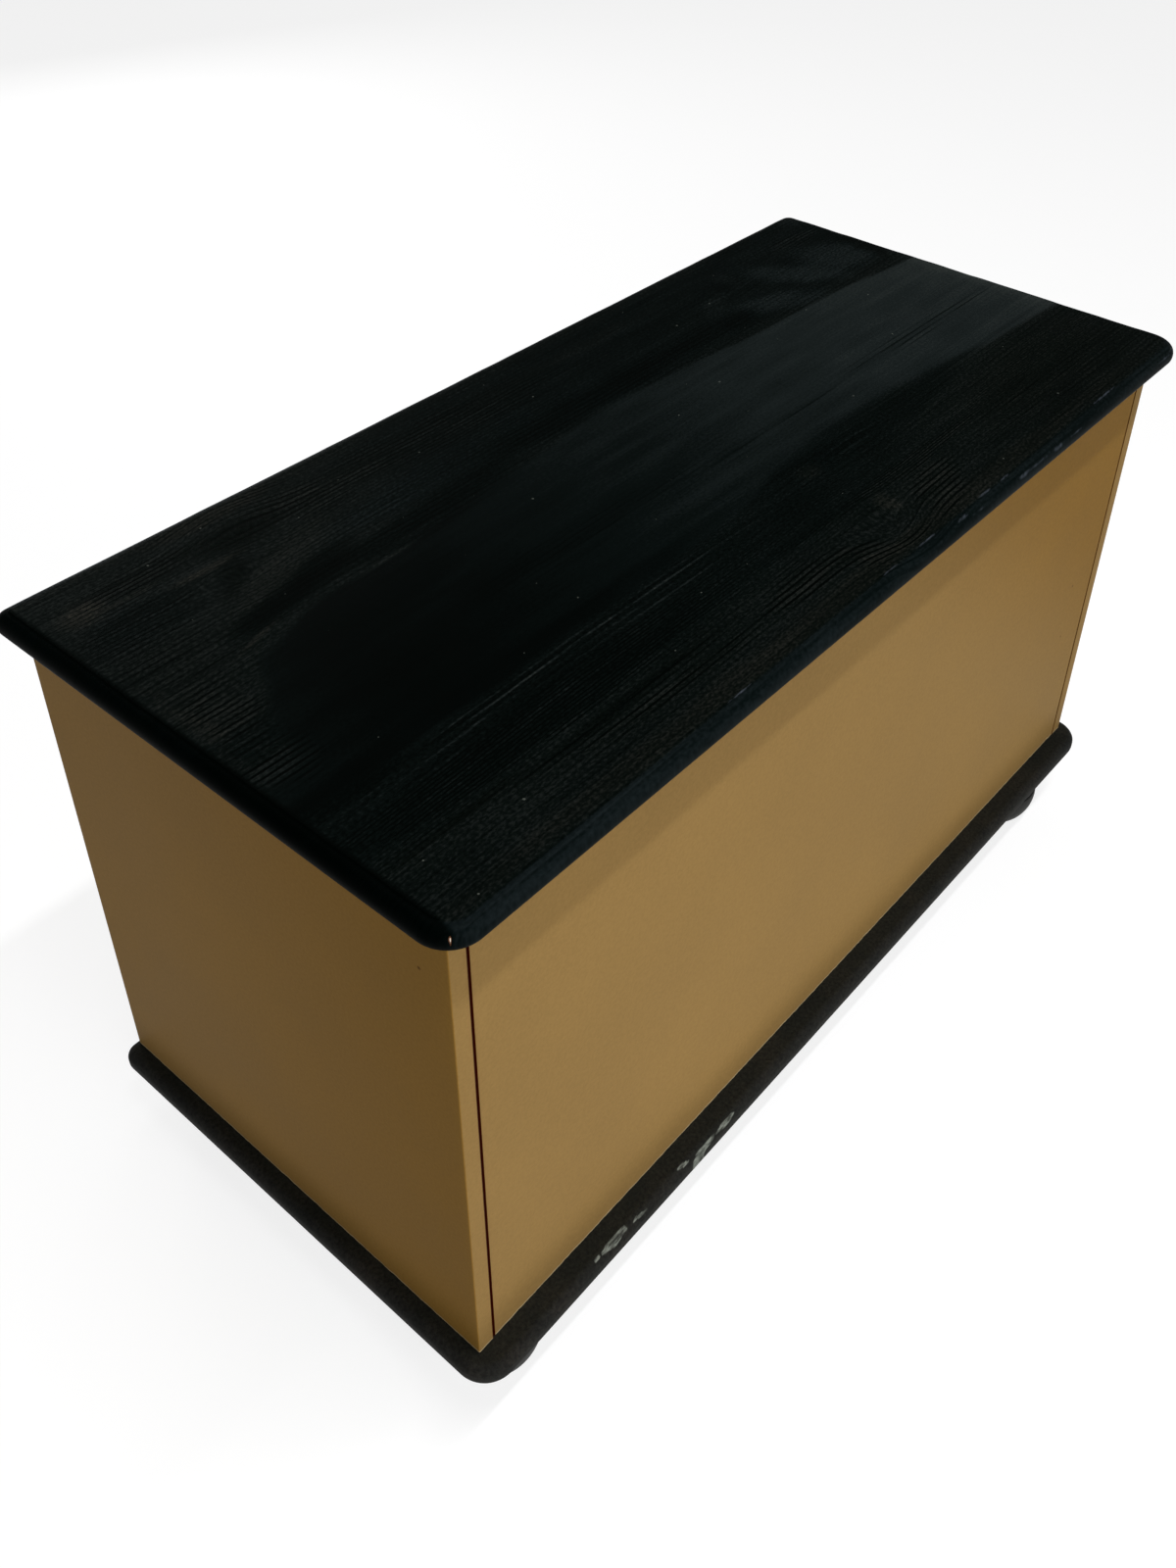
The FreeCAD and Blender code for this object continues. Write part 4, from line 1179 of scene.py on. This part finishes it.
def base_paint(colours):
    """Matt black-brown paint brushed over pine. It looks dull and slightly gritty, grey
    where the edge turns to the light, with grey-white filler where paint is knocked off."""
    material, tree, surface, place = new_material("paint_black_brown_brushed")
    scuff, inset = (add(tree, "Attribute", give="Fac", attribute_name=name)
                    for name in ("scuff", "inset"))
    # Grit and brush marks in the paint, 2 to 4 mm
    grit = add(tree, "TexNoise", (place, 1 / (3 * MM), 3.0, 0.75))
    patch = add(tree, "TexNoise", (place, 1 / (35 * MM), 3.0))
    tone = add(tree, "MapRange", (grit, *NOISE_SPAN, 0.3, 1.7))
    wide = add(tree, "MapRange", (patch, *NOISE_SPAN, 0.75, 1.2))
    tone = add(tree, "Math", (tone, wide), operation="MULTIPLY")
    turned_down = add(tree, "MapRange", (inset, 3 * MM, 8 * MM, 1.0, 0.0))
    coat = add(tree, "Mix", (turned_down, colours.base, colours.foot), data_type="RGBA")
    # The coat is browner in patches of about 35 mm
    tint = add(tree, "Mix", (patch, COOL_TINT, BROWN_TINT), data_type="RGBA")
    coat = add(tree, "VectorMath", (coat, tint), operation="MULTIPLY")
    coat = add(tree, "VectorMath", (coat, tone), operation="SCALE")
    # The filler shows through in slanting streaks about 1.5 mm apart
    slant = add(tree, "Mapping", {"Vector": place, "Rotation": (0, 0, math.radians(28)),
                                  "Scale": (1 / (8 * MM), 1 / (1.5 * MM), 1 / (6 * MM))})
    hatch = add(tree, "TexNoise", (slant, 1.0, 2.0, 0.6))
    part = add(tree, "MapRange", (hatch, 0.35, 0.62, 0.12, 0.85))
    knocked = add(tree, "MapRange", (scuff, 0.15, 0.6))
    knocked = add(tree, "Math", (knocked, part), operation="MULTIPLY")
    coat = add(tree, "Mix", (knocked, coat, colours.chip), data_type="RGBA")
    room = between_panels(0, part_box("front_panel")[0][2] - 2 * MM)
    shade, height, _ = bare_inside(tree, place, room, (0, colours, 5), coat, grit)
    bump = add(tree, "Bump", {"Height": height, "Strength": 0.6, "Distance": 0.35 * MM})
    wire(tree, surface, {"Base Color": shade, "Normal": bump, "Roughness": 0.78,
                         "Specular IOR Level": 0.12})
    return material


def foot_paint(colours):
    """The same matt paint on turned wood. It looks dull black-brown, with the lathe's
    rings showing."""
    material, tree, surface, place = new_material("paint_black_brown_turned")
    grit = add(tree, "TexNoise", (place, 1 / (3 * MM), 3.0))
    patch = add(tree, "TexNoise", (place, 1 / (20 * MM), 2.0))
    tone = add(tree, "MapRange", (grit, *NOISE_SPAN, 0.7, 1.3))
    coat = add(tree, "VectorMath", (colours.foot[:], tone), operation="SCALE")
    gloss = add(tree, "MapRange", (patch, 0.0, 1.0, 0.5, 0.75))
    bump = add(tree, "Bump", {"Height": grit, "Strength": 0.5, "Distance": 0.25 * MM})
    wire(tree, surface, {"Base Color": coat, "Roughness": gloss, "Normal": bump,
                         "Specular IOR Level": 0.2})
    return material


def stamped_metal(name, shade, roughness, grain):
    """Sheet or wire metal, stamped or drawn, with fine scratches and dull patches."""
    material, tree, surface, place = new_material(name)
    # Scratches a grain across and 12 mm long
    stretch = add(tree, "Mapping", {"Vector": place,
                                    "Scale": (1 / (12 * MM), 1 / grain, 1 / grain)})
    scratch = add(tree, "TexNoise", (stretch, 1.0, 2.0))
    dull = add(tree, "TexNoise", (place, 1 / (8 * MM), 3.0))
    tone = add(tree, "MapRange", (dull, *NOISE_SPAN, 0.72, 1.08))
    coat = add(tree, "VectorMath", (shade[:], tone), operation="SCALE")
    gloss = add(tree, "MapRange", (scratch, *NOISE_SPAN, roughness - 0.07, roughness + 0.1))
    bump = add(tree, "Bump", {"Height": scratch, "Strength": 0.2, "Distance": 0.02 * MM})
    wire(tree, surface, {"Base Color": coat, "Roughness": gloss, "Normal": bump,
                         "Metallic": 1.0})
    return material


def dress(material, *nodes):
    """Give carried-over CAD nodes their finish."""
    for node in nodes:
        if not cad_nodes[node].material_slots:
            raise RuntimeError(node + " has no material slot")
        for slot in cad_nodes[node].material_slots:
            slot.material = material


# Stage

FLOOR_REACH = 9.0


def place_in_scene(name, data):
    """An object of the scene that holds the given data."""
    item = bpy.data.objects.new(name, data)
    bpy.context.scene.collection.objects.link(item)
    return item


def make_floor(colours):
    """Plain white floor for camera, gloss and glass, which keeps the object's shadow.
    Other light bounces off it as off dark grey, so that it doesn't light the object."""
    points = [(x * FLOOR_REACH, y * FLOOR_REACH, 0.0)
              for x, y in ((-1, -1), (1, -1), (1, 1), (-1, 1))]
    mesh = bpy.data.meshes.new("floor")
    mesh.from_pydata(points, [], [(0, 1, 2, 3)])
    floor = place_in_scene("floor", mesh)
    material = bpy.data.materials.new("floor_white")
    material.use_nodes = True
    tree = material.node_tree
    tree.nodes.clear()
    path = add(tree, "LightPath").node.outputs
    seen = add(tree, "Math", (path["Is Camera Ray"], path["Is Glossy Ray"]), operation="MAXIMUM")
    seen = add(tree, "Math", (seen, path["Is Transmission Ray"]), operation="MAXIMUM")
    glow = add(tree, "Emission", {"Color": colours.floor, "Strength": 0.8})
    lit = add(tree, "BsdfDiffuse", {"Color": linear("#959595")})
    white = add(tree, "AddShader", (glow, lit))
    grey = add(tree, "BsdfDiffuse", {"Color": linear("#7C7C7C")})
    both = add(tree, "MixShader", (seen, grey, white))
    add(tree, "OutputMaterial", {"Surface": both})
    mesh.materials.append(material)
    return floor


def make_world():
    """Even studio surround: white at the horizon, dark overhead, and white to the camera."""
    world = bpy.data.worlds.new("studio")
    bpy.context.scene.world = world
    world.use_nodes = True
    tree = world.node_tree
    tree.nodes.clear()
    place = add(tree, "TexCoord", give="Generated")
    height = add(tree, "SeparateXYZ", (place,), "Z")
    level = add(tree, "MapRange", (height, 0.18, 0.46, 0.75, 0.1),
                interpolation_type="SMOOTHSTEP")
    seen = add(tree, "LightPath", give="Is Camera Ray")
    level = add(tree, "Mix", (seen, level, 0.9), data_type="FLOAT")
    shine = add(tree, "Background", {"Color": linear("#FFFFFF"), "Strength": level})
    add(tree, "OutputWorld", {"Surface": shine})


# Soft rectangular lamps: name, place, target, power, width and height. The fourth is
# round instead, with its cone in degrees and its blend, and leaves the upper right dimmer.
LAMPS = (
    ("lamp_key", (0.0, -0.872, 2.85), (0, -0.217, 0.5), 38, 1.8, 0.08),
    ("lamp_front", (-0.75, -2.5, 0.75), (0, 0, 0.3), 18, 1.2, 1.0),
    ("lamp_front_right", (0.8, -2.4, 0.4), (0.2, 0, 0.2), 5, 1.0, 0.8),
    ("lamp_side_front", (-0.6, -2.6, 1.0), (-0.42, -0.2, -0.24), 56, 43, 0.5),
    ("lamp_overhead", (0.1, 0.553, 3.0), (0, 0.1, 0.5), 13, 1.4, 1.0),
    ("lamp_back", (1.0, 2.7, 1.1), (0, 0, 0.3), 15, 1.2, 1.0),
)
ROUND_LAMP = "lamp_side_front"
ROUND_LAMP_RADIUS = 0.4


def make_lamp(name, place, target, power, width, height):
    """A lamp that faces a point."""
    if name == ROUND_LAMP:
        data = bpy.data.lights.new(name, "SPOT")
        data.spot_size, data.spot_blend = math.radians(width), height
        data.shadow_soft_size = ROUND_LAMP_RADIUS
    else:
        data = bpy.data.lights.new(name, "AREA")
        data.shape, data.size, data.size_y = "RECTANGLE", width, height
    data.energy = power
    lamp = place_in_scene(name, data)
    lamp.location = place
    aim = np.array(target, float) - np.array(place, float)
    tilt = math.atan2(math.hypot(aim[0], aim[1]), -aim[2])
    lamp.rotation_euler = Euler((tilt, 0, math.atan2(-aim[0], aim[1])))


def make_camera():
    """Camera at the photograph's angle, with its lens and framing."""
    data = bpy.data.cameras.new("camera")
    data.lens, data.sensor_width = 34.395, 36
    data.shift_x, data.shift_y = -0.02137, -0.12696
    data.clip_start, data.clip_end = 0.05, 60
    camera = place_in_scene("camera", data)
    camera.location = (-0.81133, -0.61771, 1.17679)
    camera.rotation_euler = Euler([math.radians(v) for v in (53.8527, -0.8659, -49.7935)])
    bpy.context.scene.camera = camera


# Operators

class CHEST_OT_stage(bpy.types.Operator):
    """Floor, surround, lamps and camera"""
    bl_idname = "chest.stage"
    bl_label = "Stage"

    def execute(self, context):
        context.scene.view_settings.view_transform = "Standard"
        make_camera()
        make_floor(context.scene.chest_colours)
        make_world()
        for lamp in LAMPS:
            make_lamp(*lamp)
        return {"FINISHED"}


class CHEST_OT_lid(bpy.types.Operator):
    """The lid's three stained boards"""
    bl_idname = "chest.lid"
    bl_label = "Lid"

    def execute(self, context):
        sizes = context.scene.chest_sizes
        stain = black_stained_pine(context.scene.chest_colours)
        front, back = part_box("lid_board_front")[0][1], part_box("lid_board_back")[1][1]
        lines = (front, front + sizes.lid_front_seam, front + sizes.lid_back_seam, back)
        make_boards(make_lid_board, "lid", lines, sizes, stain)
        return {"FINISHED"}


class CHEST_OT_base(bpy.types.Operator):
    """The base's three painted boards"""
    bl_idname = "chest.base"
    bl_label = "Base"

    def execute(self, context):
        sizes = context.scene.chest_sizes
        paint = base_paint(context.scene.chest_colours)
        front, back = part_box("base_board_front"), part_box("base_board_back")
        lines = (front[0][1], front[1][1], back[0][1], back[1][1])
        make_boards(make_base_board, "base", lines, sizes, paint)
        return {"FINISHED"}


class CHEST_OT_panels(bpy.types.Operator):
    """The four painted panels of the box"""
    bl_idname = "chest.panels"
    bl_label = "Panels"

    def execute(self, context):
        sizes, colours = context.scene.chest_sizes, context.scene.chest_colours
        along, across = gold_paint(colours, 0), gold_paint(colours, 1)
        make_panel("panel_front", "front_panel", -2, sizes, along)
        make_panel("panel_left", "side_panel_left", -1, sizes, across)
        make_panel("panel_right", "side_panel_right", 1, sizes, across)
        dress(along, "back_panel")
        return {"FINISHED"}


class CHEST_OT_feet(bpy.types.Operator):
    """The four turned feet"""
    bl_idname = "chest.feet"
    bl_label = "Feet"

    def execute(self, context):
        paint = foot_paint(context.scene.chest_colours)
        for place in ("front_left", "front_right", "back_left", "back_right"):
            make_foot("turned_foot_" + place, "foot_" + place, paint)
        return {"FINISHED"}


class CHEST_OT_inside(bpy.types.Operator):
    """Battens, corner blocks and cleats in bare pine"""
    bl_idname = "chest.inside"
    bl_label = "Inside"

    def execute(self, context):
        pine = [planed_pine(context.scene.chest_colours, axis, 7 + axis) for axis in range(3)]
        dress(pine[0], "bottom_cleat_front", "bottom_cleat_back")
        for side in ("left", "right"):
            dress(pine[1], "lid_batten_" + side, "bottom_cleat_" + side)
            dress(pine[2], "corner_block_front_" + side, "corner_block_back_" + side)
        return {"FINISHED"}


class CHEST_OT_hardware(bpy.types.Operator):
    """Hinges, screws and foot bolts"""
    bl_idname = "chest.hardware"
    bl_label = "Hardware"

    def execute(self, context):
        colours = context.scene.chest_colours
        # Rolled brass: warm, dulled by handling
        brass = stamped_metal("brass_rolled", colours.brass, 0.34, 0.3 * MM)
        # Zinc-plated steel: cool grey, satin
        zinc = stamped_metal("steel_zinc_plated", colours.zinc, 0.38, 0.4 * MM)
        for side in ("left", "right"):
            dress(brass, "hinge_body_leaf_" + side, "hinge_lid_leaf_" + side)
            dress(zinc, "hinge_pin_" + side)
        dress(zinc, "foot_bolts")
        for name, node, places, kind, body in (
                ("screws_batten", "lid_batten_screws", batten_screws(), WOOD_SCREW, "lid"),
                ("screws_block", "corner_block_screws", block_screws(), WOOD_SCREW, "chest"),
                ("screws_cleat", "bottom_cleat_screws", cleat_screws(), WOOD_SCREW, "chest"),
                ("screws_hinge_body", "hinge_body_screws", hinge_screws(-1), HINGE_SCREW, "chest"),
                ("screws_hinge_lid", "hinge_lid_screws", hinge_screws(1), HINGE_SCREW, "lid")):
            make_screws(name, node, places, kind, body, zinc)
        return {"FINISHED"}


class CHEST_PT_sidebar(bpy.types.Panel):
    """Lists the chest's pieces, sizes and colours"""
    bl_label = "Storage chest"
    bl_idname = "CHEST_PT_sidebar"
    bl_space_type = "VIEW_3D"
    bl_region_type = "UI"
    bl_category = "Chest"

    def draw(self, context):
        for operator in OPERATORS:
            self.layout.operator(operator.bl_idname)
        for group in (context.scene.chest_sizes, context.scene.chest_colours):
            for name in group.__annotations__:
                self.layout.prop(group, name)


OPERATORS = (CHEST_OT_stage, CHEST_OT_lid, CHEST_OT_base, CHEST_OT_panels, CHEST_OT_feet,
             CHEST_OT_inside, CHEST_OT_hardware)
CLASSES = (ChestSizes, ChestColours, *OPERATORS, CHEST_PT_sidebar)


def register():
    """Register the classes and hang the sizes and colours on the scene."""
    for cls in CLASSES:
        bpy.utils.register_class(cls)
    bpy.types.Scene.chest_sizes = PointerProperty(type=ChestSizes)
    bpy.types.Scene.chest_colours = PointerProperty(type=ChestColours)


def unregister():
    """Undo what register does."""
    del bpy.types.Scene.chest_sizes
    del bpy.types.Scene.chest_colours
    for cls in reversed(CLASSES):
        bpy.utils.unregister_class(cls)


def main():
    """Make the stage and every piece."""
    register()
    bpy.ops.chest.stage()
    bpy.ops.chest.lid()
    bpy.ops.chest.base()
    bpy.ops.chest.panels()
    bpy.ops.chest.feet()
    bpy.ops.chest.inside()
    bpy.ops.chest.hardware()
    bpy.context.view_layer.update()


if __name__ == "__main__":
    main()
